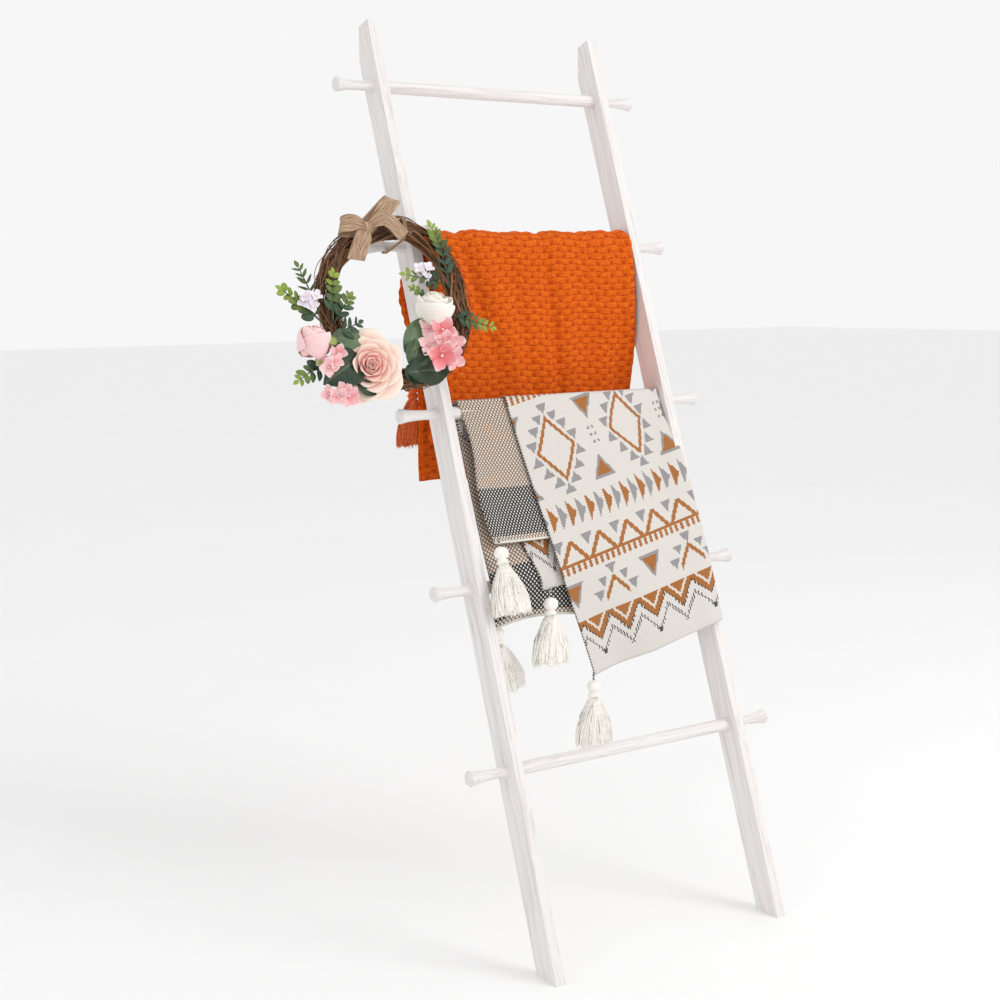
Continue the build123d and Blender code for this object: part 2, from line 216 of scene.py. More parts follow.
class Finish:
    """A material with its shader and short ways to add texture nodes."""

    def __init__(self, name, roughness, sheen=0.0):
        self.material = bpy.data.materials.new(name)
        self.material.use_nodes = True
        self.tree = self.material.node_tree
        self.shader = self.tree.nodes["Principled BSDF"]
        self.shader.inputs["Roughness"].default_value = roughness
        self.shader.inputs["Sheen Weight"].default_value = sheen
        self.shader.inputs["Sheen Roughness"].default_value = 0.5

    def node(self, kind, **inputs):
        """New node with some inputs set or linked, by their names with _ for a space."""
        made = self.tree.nodes.new(kind)
        for key, value in inputs.items():
            self.join(made.inputs[key.replace("_", " ")], value)
        return made

    def join(self, place, value):
        """Links a socket or field to an input, or sets it."""
        if isinstance(value, Field):
            value = value.socket
        if isinstance(value, bpy.types.NodeSocket):
            self.tree.links.new(value, place)
        else:
            place.default_value = value

    def axes(self, kind="Object"):
        """The chosen coordinates as three fields."""
        coords = self.node("ShaderNodeTexCoord").outputs[kind]
        split = self.node("ShaderNodeSeparateXYZ", Vector=coords)
        return [Field(self.tree, out) for out in split.outputs]

    def tone(self):
        """The piece's own tone attribute as a field."""
        made = self.tree.nodes.new("ShaderNodeAttribute")
        made.attribute_name = "tone"
        return Field(self.tree, made.outputs["Fac"])

    def vector(self, x, y, z=0.0):
        """Fields joined into a vector."""
        return self.node("ShaderNodeCombineXYZ", X=x, Y=y, Z=z).outputs[0]

    def noise(self, vector=None, scale=10.0, detail=3.0, rough=0.5):
        """Noise of about 0 to 1 over a vector, or over Object coordinates."""
        if vector is None:
            vector = self.node("ShaderNodeTexCoord").outputs["Object"]
        made = self.node("ShaderNodeTexNoise", Vector=vector, Scale=scale, Detail=detail, Roughness=rough)
        return Field(self.tree, made.outputs["Fac"])

    def mix(self, factor, one, two):
        """Colour one where factor is 0 and colour two where it is 1."""
        made = self.tree.nodes.new("ShaderNodeMix")
        made.data_type, made.clamp_factor = "RGBA", True
        for place, value in ((made.inputs[0], factor), (made.inputs[6], one), (made.inputs[7], two)):
            self.join(place, (*value, 1.0) if isinstance(value, tuple) and len(value) == 3 else value)
        return made.outputs[2]

    def finish(self, colour, height=None, strength=0.5, distance=0.001, rough=None):
        """Joins the colour, the bump height and a roughness field to the shader."""
        self.join(self.shader.inputs["Base Color"], colour)
        if height is not None:
            bump = self.node("ShaderNodeBump", Height=height, Strength=strength, Distance=distance)
            self.join(self.shader.inputs["Normal"], bump.outputs[0])
        if rough is not None:
            self.join(self.shader.inputs["Roughness"], rough)
        return self.material


def paint(red, green, blue):
    """Display colour of 0 to 255 as the shader's linear one."""
    value = np.array([red, green, blue]) / 255
    return tuple(float(v) for v in np.where(value > 0.04045, ((value + 0.055) / 1.055) ** 2.4, value / 12.92))


def whitewashed_wood(name, grain):
    """Pale wash over open grain: streaks that run along the unit vector grain."""
    made = Finish(name, roughness=0.62)
    x, y, z = made.axes()
    run = x * grain[0] + y * grain[1] + z * grain[2]
    cross = (y * -grain[2] + z * grain[1]) if abs(grain[0]) < 0.5 else z
    other = x if abs(grain[0]) < 0.5 else y
    warp = made.noise(made.vector(run * 3.0, cross * 18.0, other * 18.0), 1.0, 2.0)
    rings_at = made.vector(run * 0.9 + warp * 0.25, cross * 42.0 + warp * 2.2, other * 42.0)
    ring = made.noise(rings_at, 1.0, 4.0, 0.62)
    pores = made.noise(made.vector(run * 14.0, cross * 620.0, other * 620.0), 1.0, 2.0)
    fine = made.noise(made.vector(run * 5.0, cross * 160.0, other * 160.0), 1.0, 3.0)
    bands = (ring * 9.0).math("FRACT")
    line = smooth_field(bands, 0.62, 0.95)
    streak = (line * 0.55 + smooth_field(fine, 0.5, 0.75) * 0.45)
    pore = smooth_field(pores, 0.60, 0.78) * smooth_field(ring, 0.38, 0.62)
    colour = made.mix(streak, paint(231, 227, 225), paint(206, 198, 194))
    colour = made.mix(pore * 0.55, colour, paint(172, 160, 153))
    height = 1.0 - streak * 0.5 - pore
    return made.finish(colour, height, 0.35, 0.0006, rough=0.55 + fine * 0.15)


def smooth_field(field, low, high):
    """Smooth step of a field from 0 at low to 1 at high."""
    made = field.tree.nodes.new("ShaderNodeMapRange")
    made.interpolation_type = "SMOOTHSTEP"
    field.tree.links.new(field.socket, made.inputs["Value"])
    made.inputs["From Min"].default_value, made.inputs["From Max"].default_value = low, high
    return Field(field.tree, made.outputs[0])


def metal():
    """Zinc-plated steel of the hidden studs and inserts."""
    made = Finish("zinc_steel", roughness=0.35)
    made.shader.inputs["Metallic"].default_value = 1.0
    grain = made.noise(scale=900.0)
    return made.finish(made.mix(grain, paint(150, 152, 156), paint(190, 192, 196)), grain, 0.2, 0.0002)


def dress_ladder():
    """Wood on the rails, rungs and pegs, and steel on the hidden fasteners."""
    rail_wood = whitewashed_wood("whitewashed_rail", ALONG)
    dowel_wood = whitewashed_wood("whitewashed_dowel", X)
    steel = metal()
    for name, node in frame["nodes"].items():
        if name.endswith("_rail"):
            chosen = rail_wood
        elif name.startswith(("rung", "peg")):
            chosen = dowel_wood
        elif name in ("hanger_bolts", "threaded_inserts"):
            chosen = steel
        else:
            continue
        for place in node.material_slots:
            place.material = chosen


# ---- stage --------------------------------------------------------------------------
def stage():
    """Pale floor, soft white surroundings, a soft key light and a fill light."""
    half = 30.0
    mesh = bpy.data.meshes.new("floor")
    corners = [(-half, -half, 0), (half, -half, 0), (half, half, 0), (-half, half, 0)]
    mesh.from_pydata(corners, [], [(0, 1, 2, 3)])
    floor = linked("floor", mesh)
    ground = Finish("pale_floor", roughness=0.9)
    speck = ground.noise(scale=3.0)
    mesh.materials.append(ground.finish(ground.mix(speck, (0.90, 0.90, 0.90), (0.92, 0.92, 0.92))))
    world = bpy.data.worlds.new("studio")
    bpy.context.scene.world = world
    world.use_nodes = True
    world.node_tree.nodes["Background"].inputs["Color"].default_value = (1, 1, 1, 1)
    world.node_tree.nodes["Background"].inputs["Strength"].default_value = 0.93
    aim = Vector((0, -0.2, 0.8))
    for name, place, size, power in (("key", (1.8, -3.4, 3.0), 2.0, 54.0),
                                     ("fill", (-3.4, -1.4, 1.6), 2.6, 5.0)):
        lamp = bpy.data.lights.new(name, "AREA")
        lamp.energy, lamp.size = power, size
        made = linked(name, lamp)
        made.location = place
        made.rotation_mode = "QUATERNION"
        made.rotation_quaternion = (aim - Vector(place)).to_track_quat("-Z", "Y")
    bpy.context.scene.view_settings.view_transform = "Standard"


def camera():
    """Camera to the left of the front, a little above the middle, looking right and slightly down."""
    eye = Vector((-1.64217, -2.49363, 1.09089))
    yaw, pitch, roll = np.radians((33.97115, 7.52791, -0.65640))
    ahead = Vector((np.sin(yaw) * np.cos(pitch), np.cos(yaw) * np.cos(pitch), -np.sin(pitch)))
    right = Vector((np.cos(yaw), -np.sin(yaw), 0))
    above = right.cross(ahead)
    across = right * np.cos(roll) + above * np.sin(roll)
    upward = above * np.cos(roll) - right * np.sin(roll)
    data = bpy.data.cameras.new("camera")
    data.sensor_width, data.lens = 36.0, 57.009
    made = linked("camera", data)
    turn = Matrix((across, upward, -ahead)).transposed().to_4x4()
    made.matrix_world = Matrix.Translation(eye) @ turn
    bpy.context.scene.camera = made


# ---- orange throw: knitted, folded in three across and in half along -----------------
CELL_U, CELL_V = 0.0287, 0.0110        # repeat of the basket knit: one pillow and one recess
ORANGE_LAYER = 0.0026                  # spacing of its six layers
ORANGE_CLEAR = 0.0006
ORANGE_THICK = 0.0023
ORANGE_BULGE = 0.012                   # middle of the throw's thickness, past the rung's face
ORANGE_SHORT = 0.150                   # how far the outer layers come down behind
ORANGE_OVERLAP = 0.068                 # front's hem below the top of the patterned throw
TURN_CLOTH = 0.008                     # cloth taken up by each turn of the fold across
STITCH_ROW = 2 * np.pi / 0.0026
STITCH_LEG = 2 * np.pi / 0.0036
SPILL_DROP = (0.036, 0.052, 0.0875, 0.125, 0.160, 0.175, 0.190)   # back's left edge spills past the rail
SPILL_OUT = (0.0, 0.026, 0.032, 0.0235, 0.012, 0.004, 0.0)


def basket(u, v):
    """Height 0 to 1 of the basket knit: pillows and recesses in staggered rows, u and v in metres."""
    row = np.floor(v / CELL_V)
    across = np.abs(2 * ((u / CELL_U + 0.5 * (row % 2)) % 1) - 1)
    up = np.abs(2 * ((v / CELL_V) % 1) - 1)
    return (1 - smooth(across, 0.32, 0.68)) * (1 - up ** 2.5)


def knit_orange():
    """Orange yarn: painted highlights on the pillows, painted shade in the recesses and a painted shadow
    under each pillow, small stitches, from the cloth's own map in metres.
    """
    made = Finish("orange_knit", roughness=0.9, sheen=0.10)
    made.shader.inputs["Sheen Tint"].default_value = (1.0, 0.45, 0.10, 1)
    made.shader.inputs["Specular IOR Level"].default_value = 0.15
    u, v, _ = made.axes("UV")
    row = (v / CELL_V).math("FLOOR")
    odd = (row * 0.5).math("FRACT")
    across = abs((u / CELL_U + odd).math("FRACT") * 2.0 - 1.0)
    up = abs((v / CELL_V).math("FRACT") * 2.0 - 1.0)
    pillow = smooth_field(across, 0.68, 0.32) * (1.0 - up.math("POWER", 2.5))
    strand = (v * STITCH_ROW + across * 1.6).math("SINE") * 0.5 + 0.5
    leg = (u * STITCH_LEG + up * 2.0).math("SINE") * 0.5 + 0.5
    yarn = strand * 0.5 + leg * 0.5
    fuzz = made.noise(scale=240.0, detail=4.0)
    patch = made.noise(scale=7.0)
    in_row = (v / CELL_V).math("FRACT")
    # painted shade in the recesses between pillows, and a painted shadow along each pillow's lower edge
    recess_shade = smooth_field(across, 0.56, 0.90) * smooth_field(in_row, 0.95, 0.25)
    under = smooth_field(across, 0.75, 0.30) * smooth_field(in_row, 0.26, 0.02)
    depth = 1.0 - (recess_shade * 0.50 + under * 0.50) * (0.25 + fuzz * 1.5)
    depth = depth + (yarn - 0.5) * 0.36 + (fuzz - 0.5) * 0.8
    # colours run from painted shade (dark) through the yarn's orange to a painted highlight (light)
    colour = made.mix(smooth_field(depth, 0.10, 0.85), paint(118, 34, 2), paint(206, 82, 12))
    colour = made.mix(smooth_field(depth, 0.85, 1.25), colour, paint(245, 124, 26))
    colour = made.mix(patch * 0.30, colour, paint(186, 66, 6))
    return made.finish(colour, pillow * 0.5 + yarn * 0.30 + fuzz * 0.20, 0.9, 0.0014)


def warp(u, v):
    """Hand-made unevenness of the knit: small sine shifts of the cloth's map."""
    across = u + 0.0022 * np.sin(v * 55 + 3 * np.sin(u * 12)) + 0.0009 * np.sin(v * 170 + u * 60)
    along = v + 0.0018 * np.sin(u * 48 + 2 * np.sin(v * 14)) + 0.0008 * np.sin(u * 150)
    return across, along


def orange_columns():
    """Positions across the tri-folded cloth: x, layer place 0.5 to 2.5 from the inside, and cloth u."""
    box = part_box("orange_throw")
    low, high = box[0][0] + 0.0035, box[1][0] - 0.0055
    x, layer, u = [], [], []
    start = 0.0
    # innermost layer to outermost: each layer runs back across the one before
    for index, (first, last, count) in enumerate(((high, low, 14), (low, high, 44), (high, low, 132))):
        run = np.linspace(first, last, count)
        x.append(run)
        layer.append(np.full(count, index + 0.5))
        u.append(start + np.abs(run - first))
        start += high - low
        if index < 2:
            share = np.linspace(0, 1, 7)[1:-1]
            turn = np.pi * share
            x.append(last + np.sign(last - first) * np.sin(turn) * (0.003, 0.004)[index])
            layer.append(index + 1 - np.cos(turn) / 2)
            u.append(start + TURN_CLOTH * share)
            start += TURN_CLOTH
    return np.concatenate(x), np.concatenate(layer), np.concatenate(u)


def orange_rows():
    """Rows along the cloth: (across the rung -1 front to 1 back, height on the rung, drop, half, fold)."""
    radius = RUNG_R + ORANGE_BULGE
    level = RUNGS[2][2]
    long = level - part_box("orange_throw")[0][2]
    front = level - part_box("boho_throw")[1][2] + ORANGE_OVERLAP

    def arc(count):
        return np.linspace(0, np.pi, count)[1:-1]

    def fine(length):
        return int(length / CELL_V * 3)             # three rows of points to a row of the knit

    rows = [(1, 0, drop, -1, 0) for drop in np.linspace(long, 0, 44)]
    rows += [(np.cos(angle), np.sin(angle), 0, -1, 0) for angle in arc(9)]
    rows += [(-1, 0, drop, -1, 0) for drop in np.linspace(0, front, 10)]
    rows += [(-1, 0, front, -np.cos(angle), np.sin(angle)) for angle in arc(7)]
    rows += [(-1, 0, drop, 1, 0) for drop in np.linspace(front, 0, fine(front))]
    rows += [(-np.cos(angle), np.sin(angle), 0, 1, 0) for angle in arc(22)]
    rows += [(1, 0, drop, 1, 0) for drop in np.linspace(0, ORANGE_SHORT, fine(ORANGE_SHORT))]
    table = np.array(rows)
    place = np.stack([table[:, 0] * radius, table[:, 1] * radius - table[:, 2]], -1)
    step = np.linalg.norm(np.diff(place, axis=0), axis=1) + 0.002 * (np.diff(table[:, 3]) != 0)
    return table, np.concatenate([[0], np.cumsum(step)])


def orange_throw():
    """The throw over rung 2: each point is the rung's outline pushed out by its layer's depth."""
    x, layer, u = orange_columns()
    table, v = orange_rows()
    side, top, drop, half, fold = (table[:, k, None] for k in range(5))
    x, layer, u, v = x[None], layer[None], u[None], v[:, None]
    front = side < 0
    depth = ORANGE_LAYER * (3 + half * layer) + ORANGE_CLEAR
    outer = smooth(half, 0.2, 1.0) * smooth(layer, 1.6, 2.4)
    reach = RUNG_R + depth
    # folds in the hang: two long creases and a roll at the right, strongest on the outer layers
    hang = smooth(drop, 0.0, 0.12)
    slack = 0.4 + 0.6 * smooth(half * layer, -2.5, 2.5)
    slant = 0.34 * np.minimum(drop, 0.2)
    crease = -0.0085 * bell(x + 0.145 - slant, 0.012) * (1 - smooth(drop, 0.12, 0.24))
    crease += -0.0075 * bell(x - 0.028 - 0.13 * drop, 0.010) - 0.0060 * bell(x - 0.195, 0.010)
    crease += 0.0050 * bell(x + 0.108 - slant, 0.020) + 0.0045 * bell(x - 0.062 - 0.13 * drop, 0.022)
    crease += -0.0045 * bell(x + 0.050 - 0.20 * drop, 0.014) + 0.0050 * bell(x - 0.150, 0.025)
    puff = 0.014 * smooth(x, 0.13, 0.21) * bell(drop - 0.09, 0.10) * front
    belly = 0.006 * np.sin(np.clip(drop / 0.33, 0, 1) * np.pi) * front
    sway = 0.004 * np.sin(x * 31 + 1.0) * hang * smooth(drop, 0.05, 0.3)
    reach = reach + slack * (crease * (0.55 + 0.45 * hang) + puff + belly + sway)
    u, v = warp(u, v)
    reach = reach + 0.0020 * outer * basket(u, v)
    reach = np.maximum(reach, RUNG_R + ORANGE_LAYER * 0.5)
    y = RUNGS[2][1] + side * reach
    z = RUNGS[2][2] + top * reach - drop - ORANGE_LAYER * layer * fold
    # hem and edges wander, and the right side draws in towards the bottom
    edge = 0.0012 * np.sin(v * 40) * smooth(np.abs(x - 0.005), 0.18, 0.215) * np.sign(x)
    tuck = -0.010 * smooth(drop, 0.2, 0.34) * smooth(x, 0.1, 0.22) * front
    spill = np.interp(drop, SPILL_DROP, SPILL_OUT)
    spill = spill + 0.0012 * np.sin(drop * 2 * np.pi / 0.018) * (drop < 0.17)
    back_left = -smooth(-x, 0.15, 0.21) * spill * (side > 0)
    x = x + edge + tuck + back_left
    z = z + 0.004 * np.sin(x * 26) * smooth(drop, 0.1, 0.3) * (side > 0)
    build = Build()
    flat = np.stack([np.broadcast_to(u, y.shape), np.broadcast_to(v, y.shape)], -1)
    build.grid(np.stack([x, y, z], -1), uv=flat)
    made = build.piece("orange_knit_throw", "orange_throw", knit_orange(), "orange_throw",
                       thick=ORANGE_THICK)


# ---- patterned throw ------------------------------------------------------------------
STITCH = 0.0026
LAYER_HALF = 0.0021                    # each layer's distance from the middle of the two
CLOTH_LENGTH, CLOTH_WIDTH = 1.0, 0.80
PANEL_WIDTH, PANEL_GAIN = 0.31, 0.055  # cloth from free edge to fold at the hem, and its gain by the rung
LEFT_EDGE = -0.205                     # x of the throw's left edge
DARK_BAND = 0.096                      # top of the band at the hem
COMB = 0.0130                          # repeat of the comb's teeth
SMALL, BIG = 0.0650, 0.1810            # repeats of the pattern across the cloth
HEM_X, HEM_S = -0.062, 0.464           # front panel's free corner on the rails' plane
ROW_DIR, COLUMN_DIR = np.array([0.978, 0.209]), np.array([-0.105, 0.9945])
TOP_S = STATION[3] + 0.018             # where the cloth passes over its rung


class Pattern:
    """Masks of the knitted figures over the height m from the nearer hem."""

    def __init__(self, m):
        self.m = m

    def triangle(self, side, half, base, apex, height=None):
        """Triangle of that half width at its base, narrowing to its apex; side is the distance across."""
        share = ((height or self.m) - apex) / (base - apex)
        return (side - share * half).under(0.0) * share.over(0.0) * share.under(1.0)

    def outline(self, side, half, base, apex, stroke):
        """Two legs from an apex down to the base."""
        share = (self.m - apex) / (base - apex)
        return abs(side - share * half).under(stroke) * share.over(-0.03) * share.under(1.0)

    def band(self, low, high):
        """1 between two heights."""
        return self.m.over(low) * self.m.under(high)


def patterned_face():
    """Cream knit with ochre, grey and black figures, snapped to stitches, with painted shade in the grooves
    between stitches.
    """
    made = Finish("patterned_face", roughness=0.92, sheen=0.08)
    u0, v0, _ = made.axes("UV")
    row = (v0 / STITCH).math("FLOOR")
    odd_row = (row * 0.5).math("FRACT")
    column = (u0 / STITCH + odd_row).math("FLOOR")
    u = (column + 0.5 - odd_row) * STITCH
    v = (row + 0.5) * STITCH
    m = 0.5 * CLOTH_LENGTH - abs(v - 0.5 * CLOTH_LENGTH)
    p = Pattern(m)
    odd = ((column * 0.5).math("FRACT")).over(0.25)
    # zigzag band at the hem
    low = abs(u.wave(SMALL, 0.041))
    zig = low * 1.134 + 0.030
    above = m - zig
    ochre = above.over(0.022) * above.under(0.038) * m.under(DARK_BAND)
    ochre = ochre.either(above.over(0.045) * m.under(DARK_BAND) * m.over(0.06))
    black = abs(above).under(0.0044) * odd
    black = black.either(abs(above - 0.022).under(0.0034) * odd * m.under(0.094))
    foot = abs(m - 0.030)
    black = black.either(low.under(0.004) * foot.under(0.004) * abs(low - foot).under(0.0018))
    # hanging triangles and roofs
    hang = abs(u.wave(BIG, 0.012))
    grey = p.triangle(hang, 0.0245, 0.160, 0.118)
    ochre = ochre.either(p.triangle(hang, 0.0175, 0.155, 0.127))
    roof = abs(u.wave(BIG, 0.104))
    ochre = ochre.either(abs(m - 0.148 + roof * 1.22).under(0.0056) * roof.under(0.027))
    for side, height in ((0.0, 0.163), (0.0245, 0.1465), (0.0395, 0.1235)):
        grey = grey.either(p.triangle(abs(roof - side), 0.0115, height + 0.008, height - 0.010))
    # comb with outlined triangles on it
    tooth = abs(u.wave(COMB)).under(0.0027)
    ochre = ochre.either(p.band(0.190, 0.196)).either(tooth * p.band(0.177, 0.192))
    ochre = ochre.either(p.outline(abs(u.wave(SMALL, 0.036)), 0.026, 0.196, 0.230, 0.0052))
    grey = grey.either(p.triangle(abs(u.wave(SMALL, 0.008)), 0.0125, 0.237, 0.213))
    # spikes that point along the row
    def spikes(start):
        ahead = ((u - start) / 0.0420).math("FRACT") * 0.0420
        return (ahead + abs(m - 0.276) * 0.70).under(0.0172)

    ochre, grey = ochre.either(spikes(0.011)), grey.either(spikes(0.0318))
    # diamonds ringed by small triangles
    wide = abs(u.wave(BIG, 0.073))
    tall = abs(m - 0.391)
    ochre = ochre.either(abs(wide / 0.0405 + tall / 0.055 - 1.0).under(0.100))
    for side, height in ((0.0, 0.072), (0.018, 0.056), (0.034, 0.036), (0.048, 0.0125)):
        grey = grey.either(p.triangle(abs(wide - side), 0.0118, height + 0.009, height - 0.010, height=tall))
    upper, lower, dots = abs(u.wave(BIG, 0.170)), abs(u.wave(0.168, 0.156)), abs(u.wave(BIG, 0.167))
    grey = grey.either(p.triangle(upper, 0.027, 0.466, 0.421))
    grey = grey.either(p.triangle(lower, 0.027, 0.314, 0.357))
    ochre = ochre.either(p.triangle(upper, 0.0195, 0.461, 0.431))
    ochre = ochre.either(p.triangle(lower, 0.0195, 0.319, 0.348))
    level = abs(m - 0.393)
    rows_of_dots = abs(level - 0.0125).under(0.0030).either(level.under(0.0028))
    grey = grey.either(abs(dots - 0.0055).under(0.0030) * rows_of_dots)
    ochre = ochre.either(tooth * m.over(0.486))
    edge = u.under(STITCH).either(u.over(CLOTH_WIDTH - STITCH))
    black = black.either(edge * odd_row.over(0.25))
    # stitches, with painted shade in the grooves between them
    stitch = abs(((u0 / STITCH + odd_row).math("FRACT")) * 2.0 - 1.0)
    loop = abs((v0 / STITCH).math("FRACT") * 2.0 - 1.0)
    groove = (stitch.math("POWER", 2.5)).either(loop.math("POWER", 3.0))
    fuzz = made.noise(scale=500.0)
    rib = (u0 * (np.pi / STITCH) + v0 * (np.pi / STITCH / 2)).math("SINE") * 0.5 + 0.5
    # the darker colour of each knit is painted shade in the grooves between stitches
    cream = made.mix(groove * 0.80 + rib * 0.18, paint(238, 234, 228), paint(178, 170, 162))
    grey_knit = made.mix(groove * 0.5 + fuzz * 0.4, paint(164, 160, 162), paint(104, 102, 107))
    ochre_knit = made.mix(groove * 0.5 + rib * 0.2, paint(176, 104, 10), paint(122, 64, 2))
    colour = made.mix(ochre, made.mix(grey, cream, grey_knit), ochre_knit)
    colour = made.mix(black, colour, paint(38, 36, 40))
    colour = made.mix(made.noise(scale=6.0) * 0.10, colour, paint(214, 206, 196))
    return made.finish(colour, (1.0 - groove) * 0.8 + fuzz * 0.2, 0.55, 0.0006)


def patterned_reverse():
    """Back of the knit: white specks on taupe, on black near the hems, with a noise tint between taupe and
    ochre.
    """
    made = Finish("patterned_reverse", roughness=0.92, sheen=0.2)
    u0, v0, _ = made.axes("UV")
    pitch, rise = 0.0068, 0.0042
    row = (v0 / rise).math("FLOOR")
    shift = (row * 0.5).math("FRACT")
    across = abs((u0 / pitch + shift).math("FRACT") * 2.0 - 1.0)
    up = abs((v0 / rise).math("FRACT") * 2.0 - 1.0)
    near = 0.5 * CLOTH_LENGTH - abs(v0 - 0.5 * CLOTH_LENGTH)
    dark = near.under(DARK_BAND) * near.over(0.012)
    speck = 1.0 - smooth_field(across + up * 0.45 + dark * 0.18, 0.52, 0.80)
    tint = made.noise(made.vector(u0 * 26.0, v0 * 40.0), 1.0, 2.0)
    ground = made.mix(smooth_field(tint, 0.5, 0.72), paint(118, 96, 80), paint(150, 96, 50))
    ground = made.mix(dark, ground, paint(20, 17, 18))
    warm = made.mix(near.over(DARK_BAND), paint(226, 222, 214), paint(222, 212, 200))
    colour = made.mix(speck, ground, warm)
    colour = made.mix(near.under(0.004), colour, paint(226, 220, 208))
    return made.finish(colour, speck, 0.6, 0.0007)


def slope_point(x, s, out):
    """Point on the rails' plane, out in front of their faces, for whole arrays."""
    x, s, out = np.broadcast_arrays(x, s, out)
    return FOOT + x[..., None] * X + s[..., None] * ALONG + out[..., None] * OUT


def fold_x(s):
    """x of the throw's right fold: inside the rail at the rung, over the rail's face below it."""
    return INNER - 0.004 + 0.021 * smooth(TOP_S - s, 0.035, 0.12)


def patterned_columns():
    """Places across: 0 at the front panel's free edge, 1 at the fold, 2 at the flap's free edge."""
    near = 1 + np.sinh(np.linspace(-2.2, 2.2, 13)[1:-1]) / 60
    gap, count = 0.012, 66
    return np.concatenate([np.linspace(0, near[0] - gap, count), near, np.linspace(near[-1] + gap, 2, count)])


def patterned_throw():
    """Front panel and flap from the hems up over rung 3, then down behind to rung 4 and the far hems."""
    t = patterned_columns()[None]
    face = t < 1                                        # front panel side of the fold
    layer = -(t - 1) / np.sqrt((t - 1) ** 2 + 0.012 ** 2)   # 1 on the front panel, -1 on the flap
    across = np.clip(t, 0, 1)
    other = np.clip(t - 1, 0, 1)
    n_front, n_over, n_back = 96, 16, 62
    lean_s = STATION[4]

    # front: f from the hem to the rung
    f = np.linspace(0, 1, n_front)[:, None]
    u_fold = PANEL_WIDTH + PANEL_GAIN * f
    u = np.where(face, across * u_fold, u_fold + other * (CLOTH_WIDTH - u_fold))
    hem_flap = HEM_S + ROW_DIR[1] * PANEL_WIDTH + 0.184 * smooth(other, -0.05, 0.62)
    v_panel = f * (TOP_S - HEM_S - ROW_DIR[1] * across * (PANEL_WIDTH + PANEL_GAIN)) / COLUMN_DIR[1]
    s_panel = HEM_S + ROW_DIR[1] * across * u_fold + COLUMN_DIR[1] * v_panel
    s_flap = hem_flap + f * (TOP_S - hem_flap)
    v_flap = s_flap - hem_flap
    s = np.where(face, s_panel, s_flap)
    v = np.where(face, v_panel, v_flap)
    right = fold_x(s)
    left = HEM_X + COLUMN_DIR[0] * v_panel
    flap_width = right - LEFT_EDGE - 0.006 * np.sin(s * 30)
    x = np.where(face, left + across * (right - left), right - other * flap_width)
    x = x - 0.0012 * (1 - layer ** 2)
    stack = 0.0155 * smooth(TOP_S - s, 0.0, TOP_S - lean_s)
    out = -AXIS_DEPTH + RUNG_R + 0.0022 + stack + LAYER_HALF * layer
    lap = 0.006 * smooth(x, INNER - 0.045, INNER - 0.004) * smooth(TOP_S - s, 0.02, 0.11)
    out = out + lap + 0.0025 * np.sin(x * 19 + s * 9) * np.sin(np.clip((TOP_S - s) / 0.3, 0, 1) * np.pi)
    out = np.where(face, out, out - 0.0008)
    out = out + 0.004 * bell(x - LEFT_EDGE, 0.02) * smooth(TOP_S - s, 0.02, 0.1) * (t > 1)
    place = slope_point(x, np.maximum(s, lean_s), out)
    # below rung 4 the left side hangs straight down and the right side lies on the rail
    d = np.maximum(lean_s - s, 0)
    share = smooth(x, -0.05, INNER + 0.01)
    tilt = np.arctan2(ALONG[1], ALONG[2])
    back = d * (np.sin(tilt) - np.sin(tilt * share))
    place = place + np.stack([0.78 * back, -d * np.sin(tilt * share), -d * np.cos(tilt * share)], -1)
    place[..., 1] += 0.004 * np.sin(x * 40 + 1.3) * smooth(d, 0.0, 0.16) * (1 - share)

    # over the rung: round its top, panel outside the flap
    depth = RUNG_R + 0.0028 + LAYER_HALF * layer
    way = np.linspace(0, 1, n_over + 2)[1:-1, None]
    last = place[-1, :, 1:] - RUNGS[3][1:]              # from the rung's axis, on the front side
    first = np.linalg.norm(last, axis=1)[None]
    start = np.arctan2(last[:, 1], last[:, 0])[None]
    turn = start - start * way
    radius = first + (depth - first) * smooth(way)
    over = np.stack([np.broadcast_to(x[-1:], turn.shape), RUNGS[3][1] + radius * np.cos(turn),
                     RUNGS[3][2] + radius * np.sin(turn)], -1)

    # behind: straight to rung 4's front, then down to the far hems
    g = np.linspace(0, 1, n_back)[:, None]
    same = np.ones(t.shape[1])
    begin = np.stack([x[-1], RUNGS[3][1] + depth[0], RUNGS[3][2] * same], -1)
    before = 0.0030 + LAYER_HALF * (1 - layer)          # panel nearest rung 4, flap in front of it
    meet = np.stack([x[-1], RUNGS[4][1] - RUNG_R - before[0], (RUNGS[4][2] + 0.006) * same], -1)
    run = np.linalg.norm(meet - begin, axis=1)
    panel_hem = 0.545 + 0.006 * np.sin(across * 9) - 0.014 * (1 - across) ** 3
    total = run + meet[:, 2] - np.where(face, panel_hem, 0.588 + 0.05 * (1 - other))[0]
    drop = g * total
    along = np.minimum(drop / run, 1)
    below = np.maximum(drop - run, 0)
    rear = begin + (meet - begin) * along[..., None] - below[..., None] * UP
    fold = INNER - 0.004
    left_panel = LEFT_EDGE - 0.012 * smooth(drop, 0.0, 0.3)
    left_flap = LEFT_EDGE + 0.040 * smooth(drop, 0.03, 0.09) + 0.050 * smooth(drop, 0.10, 0.33) ** 1.5
    wide_x = np.where(face, left_panel + across * (fold - left_panel), fold - other * (fold - left_flap))
    rear[..., 0] = x[-1:] + (wide_x - x[-1:]) * smooth(drop, 0.0, 0.02)
    rear[..., 1] += 0.0025 * np.sin(rear[..., 0] * 34) * smooth(drop, 0.05, 0.3)
    rear_v = CLOTH_LENGTH - (total - drop)
    over_v = v[-1:] + (rear_v[:1] - v[-1:]) * way

    flat_v = np.concatenate([v, over_v, rear_v])
    flat_u = np.concatenate([u, np.repeat(u[-1:], n_over + n_back, axis=0)])
    build = Build()
    build.grid(np.concatenate([place, over, rear]), uv=np.stack([flat_u, flat_v], -1))
    made = build.piece("patterned_throw", "boho_throw", patterned_face(), "boho_throw",
                       thick=0.0020, second=patterned_reverse())


